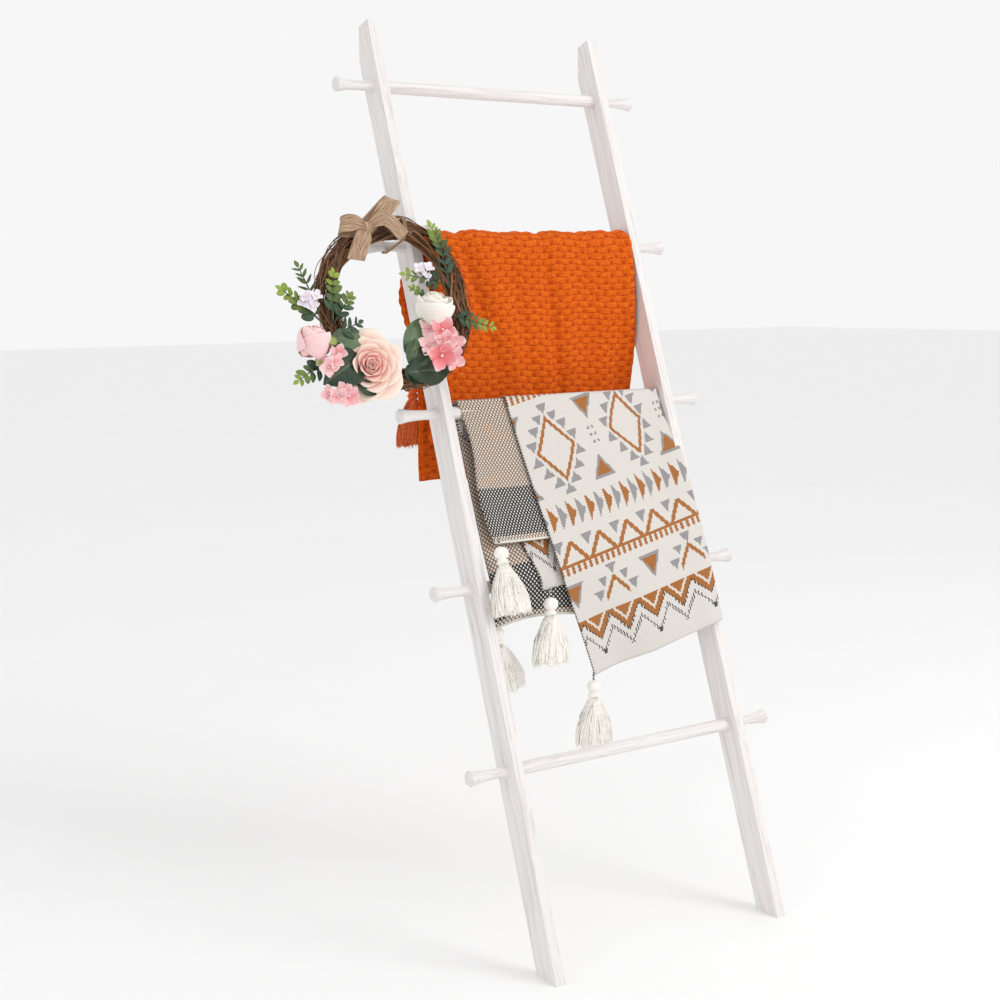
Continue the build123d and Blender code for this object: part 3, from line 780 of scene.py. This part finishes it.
# ---- tassels --------------------------------------------------------------------------
def yarn(name, light, mid, dark):
    """Soft spun yarn: twist lines along the strand, and painted shade from the piece's tone, darker in
    grooves and inside the skirt.
    """
    made = Finish(name, roughness=0.9, sheen=0.4)
    u, v, _ = made.axes("UV")
    twist = ((u * 6.0 + v * 60.0).math("SINE")) * 0.5 + 0.5
    fuzz = made.noise(scale=420.0, detail=3.0)
    shade = smooth_field(made.tone() + (fuzz - 0.5) * 0.5, 0.0, 1.0)
    colour = made.mix(shade, paint(*dark), paint(*mid))
    colour = made.mix(twist * 0.35 + shade * 0.4, colour, paint(*light))
    return made.finish(colour, twist * 0.6 + fuzz * 0.4, 0.5, 0.0006)


def skirt_line(f):
    """Share of the skirt's full width a share f of the way down: a raised sine from the neck."""
    return 0.12 + 0.88 * np.sin(np.clip(f * 1.12, 0, 1) * np.pi / 2) ** 0.9


def tassel(node, material, tilt, dark_string, draw, lean=0.0):
    """Yarn ball, tied neck and a skirt of strands, hung from its joint down along its own axis."""
    pivot = np.array(JOINTS[f"{node}_swing"]["pos_m"])
    low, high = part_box(node)
    down = unit(np.array([lean, -np.sin(tilt), -np.cos(tilt)]))
    front = unit(np.cross(X, down))
    side = np.cross(down, front)
    wide, deep, length, ball = (high[0] - low[0]) / 2, 0.018, 0.1225, 0.0118
    neck, strand_neck, top = 0.0075, 0.008, 0.037       # half depths at the neck, and the skirt's top

    def put(across, outward, along):
        return pivot + across[..., None] * side + outward[..., None] * front + along[..., None] * down

    build = Build()
    turn = np.linspace(0, 2 * np.pi, 72, endpoint=False)[None]
    # ball and tied knot: wound strands are grooves between its poles, and the tone paints shade into the
    # grooves
    for centre, radius, squash in ((0.0185, ball, 0.95), (0.0335, 0.0090, 0.75)):
        polar = np.linspace(0.001, np.pi - 0.001, 26)[:, None]
        groove = 0.0005 * np.cos(turn * 24 + polar * 2.0) + 0.0006 * np.cos(turn * 3 + centre * 90)
        reach = radius * np.sin(polar) * (1 + 0.05 * np.cos(turn * 2)) + groove * np.sin(polar)
        build.grid(put(reach * np.cos(turn), reach * np.sin(turn), centre - radius * squash * np.cos(polar)),
                   around=True, tone=0.72 + 0.28 * np.cos(turn * 24 + polar * 2.0))
    # core of the skirt: bell whose folds follow the strands, closed below, its low tone painted shade inside
    # the skirt and in its folds
    v = np.concatenate([np.linspace(0, 1, 30), [0.985, 0.97]])[:, None]
    open_ = np.concatenate([np.ones(30), [0.5, 0.001]])[:, None]
    fold = 1 + 0.07 * np.cos(turn * 11 + 3 * v) * v + 0.03 * np.cos(turn * 31)
    rx = wide * 0.93 * skirt_line(v) * fold * open_
    ry = (neck + (deep * 0.93 - neck) * skirt_line(v)) * fold * open_
    core_low = length * 0.965 + 0.003 * np.cos(turn * 5 + pivot[0] * 30)
    along = top + (core_low - top) * v
    build.grid(put(rx * np.cos(turn), ry * np.sin(turn), along), around=True,
               tone=0.50 + 0.30 * np.cos(turn * 31) + 0 * v)
    # strands over the core
    count = 190
    angle = 2 * np.pi * (np.arange(count) + draw.uniform(-0.4, 0.4, count)) / count
    end = draw.uniform(0.93, 1.03, count)
    spread = draw.normal(1.0, 0.05, count)
    f = np.linspace(0, 1, 10)
    for k in range(count):
        shape = skirt_line(f) * spread[k]
        swing = angle[k] + 0.10 * np.sin(f * 5 + k) * f
        wave = 1 + 0.025 * np.sin(f * 11 + 1.7 * k)
        path = put(wide * 0.96 * shape * wave * np.cos(swing),
                   (strand_neck + (deep * 0.96 - strand_neck) * shape) * wave * np.sin(swing),
                   top - 0.001 + (length * end[k] - top + 0.001) * f)
        build.tube(path, 0.00105 + 0.0003 * f, sides=4, tone=0.68 + 0.32 * np.sin(k * 2.399))
    # tie round the neck
    ring = np.linspace(0, 2 * np.pi, 25)
    for lift in (0.0262, 0.0400):
        build.tube(put(0.0068 * np.cos(ring), 0.0062 * np.sin(ring), lift + 0 * ring), 0.0016, tone=0.9)
    build.piece(f"{node}_yarn", node, material, node)
    # string up to the cloth's corner
    string = Build()
    f = np.linspace(0, 1, 26)
    for phase in (0, np.pi):
        path = put(0.0010 * np.cos(f * 22 + phase), 0.0010 * np.sin(f * 22 + phase), -0.008 + 0.020 * f)
        string.tube(path, 0.0011, tone=0.2 if phase and dark_string else 0.9)
    string.piece(f"{node}_string", node, STRING if dark_string else material)


def string_yarn():
    """Twisted cord of one black and one cream strand."""
    made = Finish("black_and_cream_string", roughness=0.9)
    fuzz = made.noise(scale=600.0)
    colour = made.mix(made.tone().over(0.5), paint(40, 38, 40), paint(226, 220, 208))
    return made.finish(colour, fuzz, 0.4, 0.0004)


STRING = string_yarn()


# ---- wreath ---------------------------------------------------------------------------
RING = middle("vine_ring")
RING_OUT = (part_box("vine_ring")[1][0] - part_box("vine_ring")[0][0]) / 2
VINE = 0.020
RING_R = RING_OUT - VINE
GOLDEN = np.pi * (3 - 5 ** 0.5)


def wreath_at(x, up, out):
    """Points from places on the wreath's plane, measured from the ring's middle."""
    x, up, out = np.broadcast_arrays(x, up, out)
    return RING + x[..., None] * X + up[..., None] * ALONG + out[..., None] * OUT


def on_wreath(p):
    """Points p[..., 3] given as x, up and out from the ring's middle."""
    return wreath_at(p[..., 0], p[..., 1], p[..., 2])


def frame_of(axis, about=0.0):
    """Three unit vectors on the wreath's plane: two across and the axis, turned about it."""
    axis = unit(np.array(axis, float))
    side = np.cross([0, 1, 0] if abs(axis[1]) < 0.9 else [1, 0, 0], axis)
    side = unit(side)
    other = np.cross(axis, side)
    return side * np.cos(about) + other * np.sin(about), other * np.cos(about) - side * np.sin(about), axis


def placed(origin, frame_, a, b, c):
    """Points at a, b, c along a frame's three vectors from an origin on the wreath's plane."""
    side, other, axis = frame_
    a, b, c = np.broadcast_arrays(a, b, c)
    return on_wreath(origin + a[..., None] * side + b[..., None] * other + c[..., None] * axis)


def bark():
    """Dark brown vine with pale fibres along it."""
    made = Finish("vine_bark", roughness=0.8)
    u, v, _ = made.axes("UV")
    fibre = made.noise(made.vector(u * 9.0, v * 30.0, made.tone() * 20.0), 1.0, 4.0)
    patch = made.noise(scale=60.0)
    colour = made.mix(smooth_field(fibre, 0.35, 0.72), paint(44, 26, 17), paint(126, 84, 54))
    colour = made.mix(smooth_field(patch, 0.5, 0.7) * 0.6, colour, paint(84, 52, 36))
    colour = made.mix(made.tone().math("POWER", 2.0) * 0.75, colour, paint(172, 126, 84))
    return made.finish(colour, fibre, 0.8, 0.0008)


def bulge(angle):
    """How far the ring's middle line stands out of its circle: most at its upper right."""
    return 0.020 * bell((angle - 1.0 + np.pi) % (2 * np.pi) - np.pi, 0.62)


def round_ring(angle, deep, twist):
    """Path on the ring: at each angle, deep from its middle line and turned about that line by twist."""
    around = RING_R + bulge(angle) + deep * np.cos(twist)
    return wreath_at(around * np.cos(angle), around * np.sin(angle), deep * np.sin(twist))


def vine_ring(draw):
    """Twisted vines: each winds round the ring's middle circle at its own depth and pitch."""
    build = Build()
    for k in range(72):
        turns = draw.uniform(0.55, 1.25)
        angle = draw.uniform(0, 2 * np.pi) + np.linspace(0, turns * 2 * np.pi, int(100 * turns))
        deep = 0.0165 * draw.uniform(0.35, 1.0) ** 0.5
        twist = draw.uniform(0, 2 * np.pi) + angle * draw.uniform(0.8, 2.6) * draw.choice([-1, 1])
        deep = deep + 0.0016 * np.sin(angle * draw.uniform(5, 11) + k)
        thick = draw.uniform(0.0009, 0.0019) * (1 + 0.18 * np.sin(angle * 13 + k))
        build.tube(round_ring(angle, deep, twist), thick, tone=draw.uniform(0, 1))
    # fine tendrils that stand off the ring
    for k in range(90):
        start, span = draw.uniform(0, 2 * np.pi), draw.uniform(0.12, 0.5)
        f = np.linspace(0, 1, 12)
        lift = 0.0165 + 0.004 * np.sin(f * np.pi) + draw.uniform(0, 0.006) * f ** 2
        twist = draw.uniform(-0.6, 1.6) + f * draw.uniform(-1.5, 1.5)
        angle = start + f * span
        build.tube(round_ring(angle, lift, twist), 0.0007, sides=4, tone=draw.uniform(0.2, 1))
    build.piece("twisted_vines", "wreath", bark(), "vine_ring")


def cup_petal(build, origin, frame_, turn, base, length, width, opening, curl, tone, lift, close, belly):
    """Petal on a cup about the axis: radius grows and the arc narrows to its base, with a curled rim."""
    v = np.linspace(0, 1, 10)[:, None]
    u = np.linspace(-1, 1, 9)[None]
    radius = base + length * np.sin(opening) * v ** belly + length * curl * v ** 5
    height = lift + length * np.cos(opening) * v - length * curl * 0.6 * v ** 6
    rim = np.sqrt(np.clip(1 - np.clip((v - 0.45) / 0.57, 0, 1) ** 3.4, 0.0001, 1))
    outline = rim * np.sin(np.clip(v * 2.2, 0.12, 1) * np.pi / 2)
    angle = turn + u * outline * width / np.maximum(radius, base + 0.35 * length * np.sin(opening) + 0.004)
    ripple = 0.02 * np.sin(u * 4 + turn * 3) * v ** 3
    radius = radius + length * (ripple - 0.05 * u ** 2 * v ** 2 - close * v ** 4)
    height = height - length * 0.06 * u ** 2 * v
    grid = placed(origin, frame_, radius * np.cos(angle), radius * np.sin(angle), height)
    build.grid(grid, tone=tone + 0.22 * (v - 0.5))


def petals(name, inner, outer, edge):
    """Petal tissue: colour runs with the tone from inner to outer petals, with fine veins along it."""
    made = Finish(name, roughness=0.62, sheen=0.25)
    made.shader.inputs["Subsurface Weight"].default_value = 0.12
    made.shader.inputs["Subsurface Scale"].default_value = 0.004
    u, v, _ = made.axes("UV")
    vein = made.noise(made.vector(u * 34.0, v * 3.0), 1.0, 3.0)
    blush = made.noise(scale=45.0)
    shade = smooth_field(made.tone() + (blush - 0.5) * 0.35, 0.0, 1.0)
    colour = made.mix(shade, paint(*inner), paint(*outer))
    colour = made.mix(smooth_field(v, 0.78, 1.0) * 0.6, colour, paint(*edge))
    colour = made.mix(smooth_field(vein, 0.5, 0.8) * 0.15, colour, paint(*inner))
    return made.finish(colour, vein, 0.25, 0.0005)


def rose(name, node, material, origin, axis, size, count, openness, close, draw):
    """Rose: a wound bud in the middle and petals at the golden angle that open outwards."""
    build = Build()
    shape = frame_of(axis)
    for k in range(count):
        f = k / (count - 1)
        opening = 0.05 + openness * f ** 1.25
        base = size * (0.03 + 0.22 * f)
        length = size * (0.54 + 0.30 * f)
        lift = size * 0.30 * (1 - f)
        cup_petal(build, origin, shape, k * GOLDEN + draw.uniform(-0.15, 0.15), base, length,
                  size * (0.34 + 0.66 * f), opening, 0.03 + 0.15 * f ** 2 * openness, f, lift, close,
                  0.55 if close else 1.3)
    # wound core
    f = np.linspace(0, 1, 60)[None]
    v = np.linspace(0, 1, 6)[:, None]
    winding = size * (0.012 + 0.13 * f)
    turn = f * 5.5 * np.pi
    flare = winding * (1 + 0.12 * v)
    grid = placed(origin, shape, flare * np.cos(turn), flare * np.sin(turn),
                  size * (0.35 + (0.50 - 0.12 * f) * v))
    build.grid(grid, tone=0.02 + 0.10 * v)
    build.piece(name, "wreath", material, node, thick=0.0007, level=1)


def floret(build, centre, axis, size, turn, tone, draw):
    """Four rounded, cupped petals about a small eye."""
    shape = frame_of(axis, turn)
    v = np.linspace(0, 1, 7)[:, None]
    u = np.linspace(-1, 1, 7)[None]
    for k in range(4):
        a = k * np.pi / 2 + draw.uniform(-0.15, 0.15)
        half = size * 0.235 * np.sqrt(np.clip(1 - ((v - 0.54) / 0.54) ** 2, 0.02, 1))
        radius = size * (0.04 + 0.50 * v) - size * 0.14 * u ** 2 * v ** 2
        side = u * half
        cup = size * (0.16 * v ** 2 + 0.10 * u ** 2 * v) + size * draw.uniform(-0.05, 0.05) * v
        build.grid(placed(centre, shape, radius * np.cos(a) - side * np.sin(a),
                          radius * np.sin(a) + side * np.cos(a), cup), tone=tone + 0.75 * v)
    ball = np.linspace(0.05, np.pi - 0.05, 5)[:, None]
    ring = np.linspace(0, 2 * np.pi, 7)[None, :-1]
    eye = size * 0.055
    build.grid(placed(centre, shape, eye * np.sin(ball) * np.cos(ring), eye * np.sin(ball) * np.sin(ring),
                      eye * (1 - np.cos(ball))), around=True, tone=1.2)


def stalk(build, root, tip, count, tone):
    """Thin straight stalk of count points from a root to a flower."""
    f = np.linspace(0, 1, count)[:, None]
    build.tube(on_wreath(np.array(root) * (1 - f) + tip * f), 0.0008, sides=4, tone=tone)


def hydrangea(name, node, material, root, florets, draw):
    """Florets at given places on the wreath, each on a stalk from the root and facing out."""
    build = Build()
    for x, up, out, size, tone in florets:
        centre = np.array([x, up, out])
        axis = (-0.25, -0.10, 1.0) + 9.0 * (centre - root) * (1, 1, 0) + draw.uniform(-0.15, 0.15, 3)
        floret(build, centre, axis, size, draw.uniform(0, 1.5), tone, draw)
        stalk(build, root, centre - 0.002 * unit(axis), 5, 1.3)
    build.piece(name, "wreath", material, node, thick=0.0006)


def foliage(name, dark, light):
    """Leaf green from dark to light by tone, with a pale midrib and side veins."""
    made = Finish(name, roughness=0.5)
    u, v, _ = made.axes("UV")
    mid = abs(u - 0.5)
    rib = smooth_field(mid, 0.05, 0.015)
    side = ((v * 9.0 - mid * 6.0).math("FRACT")).under(0.10)
    patch = made.noise(scale=70.0)
    shade = made.tone() + (patch - 0.5) * 0.5
    colour = made.mix(smooth_field(shade, 0.0, 1.0), paint(*dark), paint(*light))
    colour = made.mix(rib * 0.22 + side * 0.08, colour, paint(150, 170, 120))
    return made.finish(colour, rib * -0.5 + side * -0.3 + patch * 0.3, 0.5, 0.0006)


def blade(build, origin, heading, length, width, normal=(0, 0, 1), sag=0.15, tone=0.0, round_=0.9,
          fold=0.18, serrate=0.0):
    """Leaf along a heading: half width is a power of a sine, its midrib arches and its halves fold up."""
    heading, normal = unit(np.array(heading, float)), np.array(normal, float)
    side = unit(np.cross(heading, normal))
    up = np.cross(side, heading)
    v = np.linspace(0, 1, 37 if serrate else 13)[:, None]
    u = np.linspace(-1, 1, 7)[None]
    half = width / 2 * np.clip(np.sin(np.pi * v ** 0.85), 0, 1) ** round_
    half = half * (1 + serrate * np.sin(v * 75)) + 0.0002
    lift = -sag * length * v ** 2 + fold * half * u ** 2 + 0.018 * length * np.sin(v * 6 + u)
    local = origin + (length * v)[..., None] * heading + (u * half)[..., None] * side + lift[..., None] * up
    build.grid(on_wreath(local), tone=tone)


def between(path, at):
    """Points at the shares at of the way through a path[n, 3], in a straight line from knot to knot."""
    knots = np.linspace(0, 1, len(path))
    return np.stack([np.interp(at, knots, path[:, k]) for k in range(3)], -1)


def eased(path, count, rounds):
    """Path of count points whose corners are eased by averaging each point with its neighbours."""
    line = between(np.array(path, float), np.linspace(0, 1, count))
    for _ in range(rounds):
        line[1:-1] = (line[:-2] + 2 * line[1:-1] + line[2:]) / 4
    return line


def sprig(build, path, count, size, draw, dark, tip, round_, width):
    """Stem along a path on the wreath's plane with pairs of leaves that shrink to its tip."""
    f = np.linspace(0, 1, 24)
    stem = eased(path, 24, 3)
    build.tube(on_wreath(stem), 0.0011 * (1.2 - 0.7 * f), tone=dark + 0.2)
    for k in range(count):
        at = 0.15 + 0.85 * (k + 0.5) / count
        point = between(stem, at)
        ahead = unit(between(stem, min(at + 0.08, 1)) - between(stem, at - 0.08))
        side = unit(np.cross([0, 0, 1], ahead))
        for way in (-1, 1):
            heading = ahead * draw.uniform(0.5, 0.9) + side * way * 0.9 + (0, 0, draw.uniform(-0.1, 0.5))
            length = size * (1.1 - 0.55 * at) * draw.uniform(0.85, 1.1)
            facing = (draw.uniform(-0.5, 0.5), draw.uniform(-0.5, 0.5), 1)
            tone = dark + (tip - dark) * at
            blade(build, point, heading, length, length * width, facing, 0.1, tone, round_)
    blade(build, stem[-1], ahead, size * 0.5, size * 0.3, tone=tip)


def greenery(draw):
    """Eucalyptus sprigs and rose leaves, each group standing for its own node."""
    fresh = foliage("eucalyptus_green", (34, 64, 38), (150, 172, 56))
    deep = foliage("rose_leaf_green", (34, 56, 38), (100, 124, 88))
    groups = {
        "eucalyptus_left": (
            (((-.15, -.012, .014), (-.162, .028, .022), (-.175, .058, .026)),
             5, 0.025, -0.1, 0.35, 0.9, 0.3),
            (((-.145, -.032, .018), (-.18, -.004, .026), (-.213, .02, .03)),
             6, 0.024, -0.1, 0.8, 0.5, 0.72),
        ),
        "eucalyptus_inner": (
            (((-.128, -.03, .02), (-.124, .01, .026), (-.116, .048, .026)),
             5, 0.023, -0.1, 0.8, 0.5, 0.6),
            (((-.127, -.034, .018), (-.108, -.008, .026), (-.0925, .0095, .026)),
             4, 0.022, -0.2, 0.6, 0.55, 0.5),
            (((-.128, -.052, .018), (-.108, -.044, .026), (-.088, -.036, .028)),
             3, 0.023, -0.3, 0.1, 0.7, 0.4),
        ),
        "eucalyptus_right": (
            (((.102, .02, .02), (.0935, .0888, .03), (.082, .128, .03)),
             8, 0.026, -0.4, 0.8, 0.7, 0.42),
            (((.094, .028, .022), (.055, .036, .03), (.015, .044, .03)),
             5, 0.023, -0.4, 0.8, 0.55, 0.5),
            (((.087, -.022, .022), (.128, -.038, .028), (.163, -.05, .03)),
             6, 0.021, -0.3, 0.95, 0.7, 0.42),
            (((.05, .002, .024), (.035, .012, .03), (.021, .021, .03)),
             3, 0.014, 0.1, 0.6, 0.6, 0.7),
        ),
        "eucalyptus_low": (
            (((-.15, -.1, .012), (-.182, -.11, .018), (-.207, -.124, .02)),
             4, 0.023, -0.2, 0.7, 0.6, 0.6),
        ),
    }
    for node, sprigs in groups.items():
        build = Build()
        for path, count, size, dark, tip, round_, width in sprigs:
            sprig(build, path, count, size, draw, dark, tip, round_, width)
        build.piece(f"{node}_sprigs", "wreath", fresh, node, thick=0.0005)
    build = Build()
    for x, up, heading, length, width, tone in (
            (-.092, -.090, (-.068, -.039, .004), .080, .066, .1),
            (-.084, -.067, (-.048, .012, .006), .054, .034, .7),
            (-.106, -.136, (.026, -.013, .003), .036, .026, .2),
            (-.008, -.086, (.040, .058, .012), .070, .036, .75),
            (-.002, -.112, (.024, .045, .010), .056, .046, .4),
            (-.012, -.120, (.080, .005, .008), .086, .056, .1),
            (-.008, -.106, (.012, -.034, .002), .036, .034, .05),
            (-.100, -.060, (-.040, .002, .004), .040, .034, .5)):
        blade(build, (x, up, .020), heading, length, width, tone=tone, serrate=0.045, fold=0.35)
    build.piece("rose_leaf_group", "wreath", deep, "rose_leaves", thick=0.0006, level=1)


def burlap():
    """Open tan weave: threads both ways over the ribbon's own map in metres."""
    made = Finish("burlap_ribbon", roughness=0.9, sheen=0.2)
    u, v, _ = made.axes("UV")
    warp = ((u * (2 * np.pi / 0.0011)).math("SINE")) * 0.5 + 0.5
    weft = ((v * (2 * np.pi / 0.0013)).math("SINE")) * 0.5 + 0.5
    slub = made.noise(made.vector(u * 520.0, v * 36.0), 1.0, 3.0)
    cloth = warp * 0.20 + weft * 0.10 + slub * 1.30 - 0.25
    colour = made.mix(smooth_field(cloth, 0.25, 0.95), paint(120, 92, 68), paint(216, 182, 150))
    return made.finish(colour, cloth, 0.7, 0.0005)


def ribbon(build, path, width, lean, start, cut=0.0):
    """Ribbon along a path on the wreath's plane; its width lies along lean, pinched at the knot by start."""
    f = np.linspace(0, 1, 40)
    line = eased(path, 40, 12)
    run = np.concatenate([[0], np.cumsum(np.linalg.norm(np.diff(line, axis=0), axis=1))])
    ahead = np.gradient(line, axis=0)
    ahead /= np.linalg.norm(ahead, axis=1)[:, None]
    lean = unit(np.array(lean, float))
    side = np.cross(ahead, lean) if abs(lean[2]) > 0.5 else lean - (ahead @ lean)[:, None] * ahead
    side /= np.linalg.norm(side, axis=1)[:, None]
    u = np.linspace(-1, 1, 11)[None]
    half = width / 2 * (start + (1 - start) * smooth(f, 0.0, 0.35))[:, None]
    normal = np.cross(side, ahead)
    crease = 0.0022 * np.cos(u * 7) * (1 - smooth(f, 0.0, 0.5))[:, None]
    crease = crease + 0.0006 * np.sin(f * 9)[:, None] * u
    grid = line[:, None] + (u * half)[..., None] * side[:, None] + crease[..., None] * normal[:, None]
    grid = grid + (cut * u * smooth(f, 0.75, 1.0)[:, None])[..., None] * ahead[:, None]
    build.grid(on_wreath(grid), uv=np.stack(np.broadcast_arrays(u * width / 2, run[:, None]), -1))
    return float(run[-1] * width)


def jute_bow():
    """Bow of one ribbon: knot, two loops and two tails."""
    build = Build()
    kx, ku, ko = -0.040, 0.125, 0.028
    wide = 0.030
    # two loops and two tails: places from the knot, share of the width, lean, pinch and slant of the cut
    bands = (
        (((0, 0, 0), (-.020, .005, .012), (-.044, .003, .010), (-.051, .001, .001), (-.044, 0, -.007),
          (0, 0, -.004)), 1.0, (.35, .94, 0), 0.35, 0.0),
        (((0, 0, 0), (.022, .018, .012), (.052, .044, .010), (.060, .052, .001), (.052, .044, -.007),
          (0, 0, -.004)), 0.95, (.97, -.24, 0), 0.35, 0.0),
        (((0, 0, .002), (-.016, -.024, .007), (-.032, -.056, .002)), 1.0, (0, 0, 1), 0.4, 0.005),
        (((0, 0, .003), (.026, .013, .016), (.044, .002, .013), (.065, -.016, .005)), 0.9, (0, 0, 1), 0.4,
         -0.003),
    )
    area = sum(ribbon(build, np.array(path) + (kx, ku, ko), wide * share, lean, pinch, cut)
               for path, share, lean, pinch, cut in bands)
    turn = np.linspace(0, 2 * np.pi, 28, endpoint=False)[None]
    across = np.linspace(-1, 1, 12)[:, None]
    knot = 0.0095
    thick = knot * np.sqrt(np.clip(1 - across ** 4, 0.02, 1)) * (1 + 0.05 * np.cos(across * 14))
    build.grid(wreath_at(kx + knot * across, ku + thick * np.cos(turn), ko + thick * np.sin(turn) * 0.9),
               around=True, uv=np.stack(np.broadcast_arrays(across * 0.01, turn * 0.008), -1))
    made = build.piece("burlap_bow", "wreath", burlap(), "jute_bow", thick=0.0009)


def loop_twine():
    """Jute twine: three twisted strands round the peg's waist and the top of the ring."""
    low, high = (np.array(corner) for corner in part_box("wreath_loop"))
    x = (low[0] + high[0]) / 2
    peg = middle("peg_left_2")[1:]
    offset = x - RING[0]
    angle = np.arccos(offset / RING_R)
    vine = (RING + (RING_R * np.sin(angle) + bulge(angle)) * ALONG)[1:]
    ends = ((vine, VINE + 0.0012), (peg, 0.0115))
    line = unit(ends[1][0] - ends[0][0])
    side = np.array([-line[1], line[0]])
    arc = np.linspace(0, np.pi, 30)[:, None]
    near = ends[0][0] + ends[0][1] * (-side * np.cos(arc) - line * np.sin(arc))
    far = ends[1][0] + ends[1][1] * (side * np.cos(arc) + line * np.sin(arc))
    path = np.concatenate([near, far, near[:1]])
    length = np.concatenate([[0], np.cumsum(np.linalg.norm(np.diff(path, axis=0), axis=1))])
    at = np.linspace(0, length[-1], 260)
    y, z = np.interp(at, length, path[:, 0]), np.interp(at, length, path[:, 1])
    build = Build()
    for turn_x in (-0.0017, 0.0017):
        for k in range(3):
            phase = at / 0.006 * 2 * np.pi + k * 2 * np.pi / 3
            strand = np.stack([x + turn_x + 0.0009 * np.cos(phase), y + 0.0009 * np.sin(phase), z], -1)
            build.tube(strand, 0.0009, tone=0.3 * k)
    made = Finish("jute_twine", roughness=0.92)
    fuzz = made.noise(scale=700.0)
    colour = made.mix(fuzz, paint(130, 98, 64), paint(196, 164, 122))
    build.piece("jute_twine_loop", "wreath", made.finish(colour, fuzz, 0.5, 0.0004), "wreath_loop")


def flowers(draw):
    """Roses, bud, hydrangeas and small blossoms."""
    peach = petals("peach_rose_petals", (247, 150, 142), (253, 222, 206), (255, 240, 226))
    ivory = petals("ivory_rose_petals", (252, 232, 214), (253, 246, 236), (255, 251, 244))
    pink = petals("pink_bud_petals", (244, 168, 172), (250, 208, 208), (253, 226, 224))
    salmon = petals("hydrangea_petals", (234, 116, 122), (252, 208, 210), (254, 232, 230))
    lilac = petals("lilac_white_petals", (236, 214, 226), (252, 246, 250), (255, 252, 255))
    rose("large_rose_petals", "large_rose", peach, np.array([-.070, -.105, -.002]),
         (-0.32, -0.08, 1), 0.057, 34, 1.10, 0.0, draw)
    rose("white_rose_petals", "white_rose", ivory, np.array([.055, -.038, .016]),
         (0.05, 0.80, 0.60), 0.066, 16, 0.40, 0.20, draw)
    rose("pink_bud_petals", "rose_bud", pink, np.array([-.176, -.089, .012]),
         (0.16, 0.86, 0.50), 0.066, 12, 0.30, 0.26, draw)
    hydrangea("right_hydrangea_florets", "hydrangea_right", salmon, (.055, -.078, .006), (
        (.056, -.057, .044, .044, 0.0), (.040, -.048, .030, .036, .6), (.078, -.0745, .034, .040, .3),
        (.031, -.078, .032, .036, .6), (.045, -.100, .044, .050, -.1), (.0725, -.102, .034, .040, .3),
        (.0548, -.077, .046, .036, .4), (.062, -.090, .026, .034, .5), (.072, -.058, .026, .034, .5)), draw)
    hydrangea("left_hydrangea_florets", "hydrangea_left", salmon, (-.140, -.095, .006), (
        (-.139, -.0865, .036, .028, .3), (-.157, -.1085, .032, .030, .5), (-.1465, -.1005, .038, .026, .4),
        (-.163, -.097, .026, .024, .6)), draw)
    hydrangea("bottom_hydrangea_florets", "hydrangea_bottom", salmon, (-.125, -.135, .002), (
        (-.161, -.149, .024, .028, .5), (-.150, -.155, .030, .032, .4), (-.130, -.157, .030, .034, .3),
        (-.139, -.146, .034, .026, .5), (-.120, -.150, .020, .024, .6)), draw)
    build = Build()
    for x, up, root, count, size in ((-.1660, .0015, (-.153, -.027, .018), 5, .021),
                                     (.051, .048, (.080, .030, .018), 4, .020)):
        for k in range(count):
            turn = k * GOLDEN
            step = k > 0                                # the first floret stands in the middle
            centre = np.array([x + .013 * np.cos(turn) * step, up + .008 * np.sin(turn) * step,
                               .030 + .004 * (k % 2)])
            floret(build, centre, (0.4 * np.cos(turn) - 0.3, 0.4 * np.sin(turn), 1), size, turn, 0.2, draw)
            stalk(build, root, centre - (0, 0, .002), 6, 1.0)
    build.piece("small_white_blossoms", "wreath", lilac, "small_blossoms", thick=0.0005)
    sepal = foliage("sepal_green", (110, 130, 62), (178, 184, 104))
    build = Build()
    for x, up, out, heading, length in (
            (.060, -.032, .040, (-.75, .45, .35), .032), (.061, -.034, .042, (.10, .85, .45), .034),
            (.064, -.032, .038, (.75, .60, .20), .032), (.052, -.036, .030, (-.9, .1, .2), .026),
            (-.138, -.070, .038, (-.85, .05, .45), .026), (-.172, -.090, .024, (.3, -.9, .3), .024)):
        blade(build, (x, up, out), heading, length, length * 0.52, tone=0.5)
    build.piece("sepals", "wreath", sepal, thick=0.0006)


# ---- the whole object -----------------------------------------------------------------
stage()
camera()
dress_ladder()
orange_throw()
patterned_throw()
cream = yarn("cream_yarn", (255, 253, 248), (248, 243, 234), (226, 218, 204))
rust = yarn("orange_yarn", (240, 118, 36), (206, 78, 8), (130, 38, 2))
LEAN_ANGLE = float(np.arctan2(ALONG[1], ALONG[2]))
for number in range(1, 5):
    tassel(f"boho_tassel_{number}", cream, LEAN_ANGLE if number == 1 else 0.0, True, rng,
           0.20 if number == 3 else 0.0)
for number in range(1, 5):
    tassel(f"orange_tassel_{number}", rust, 0.0, False, rng)
vine_ring(rng)
loop_twine()
jute_bow()
flowers(rng)
greenery(rng)
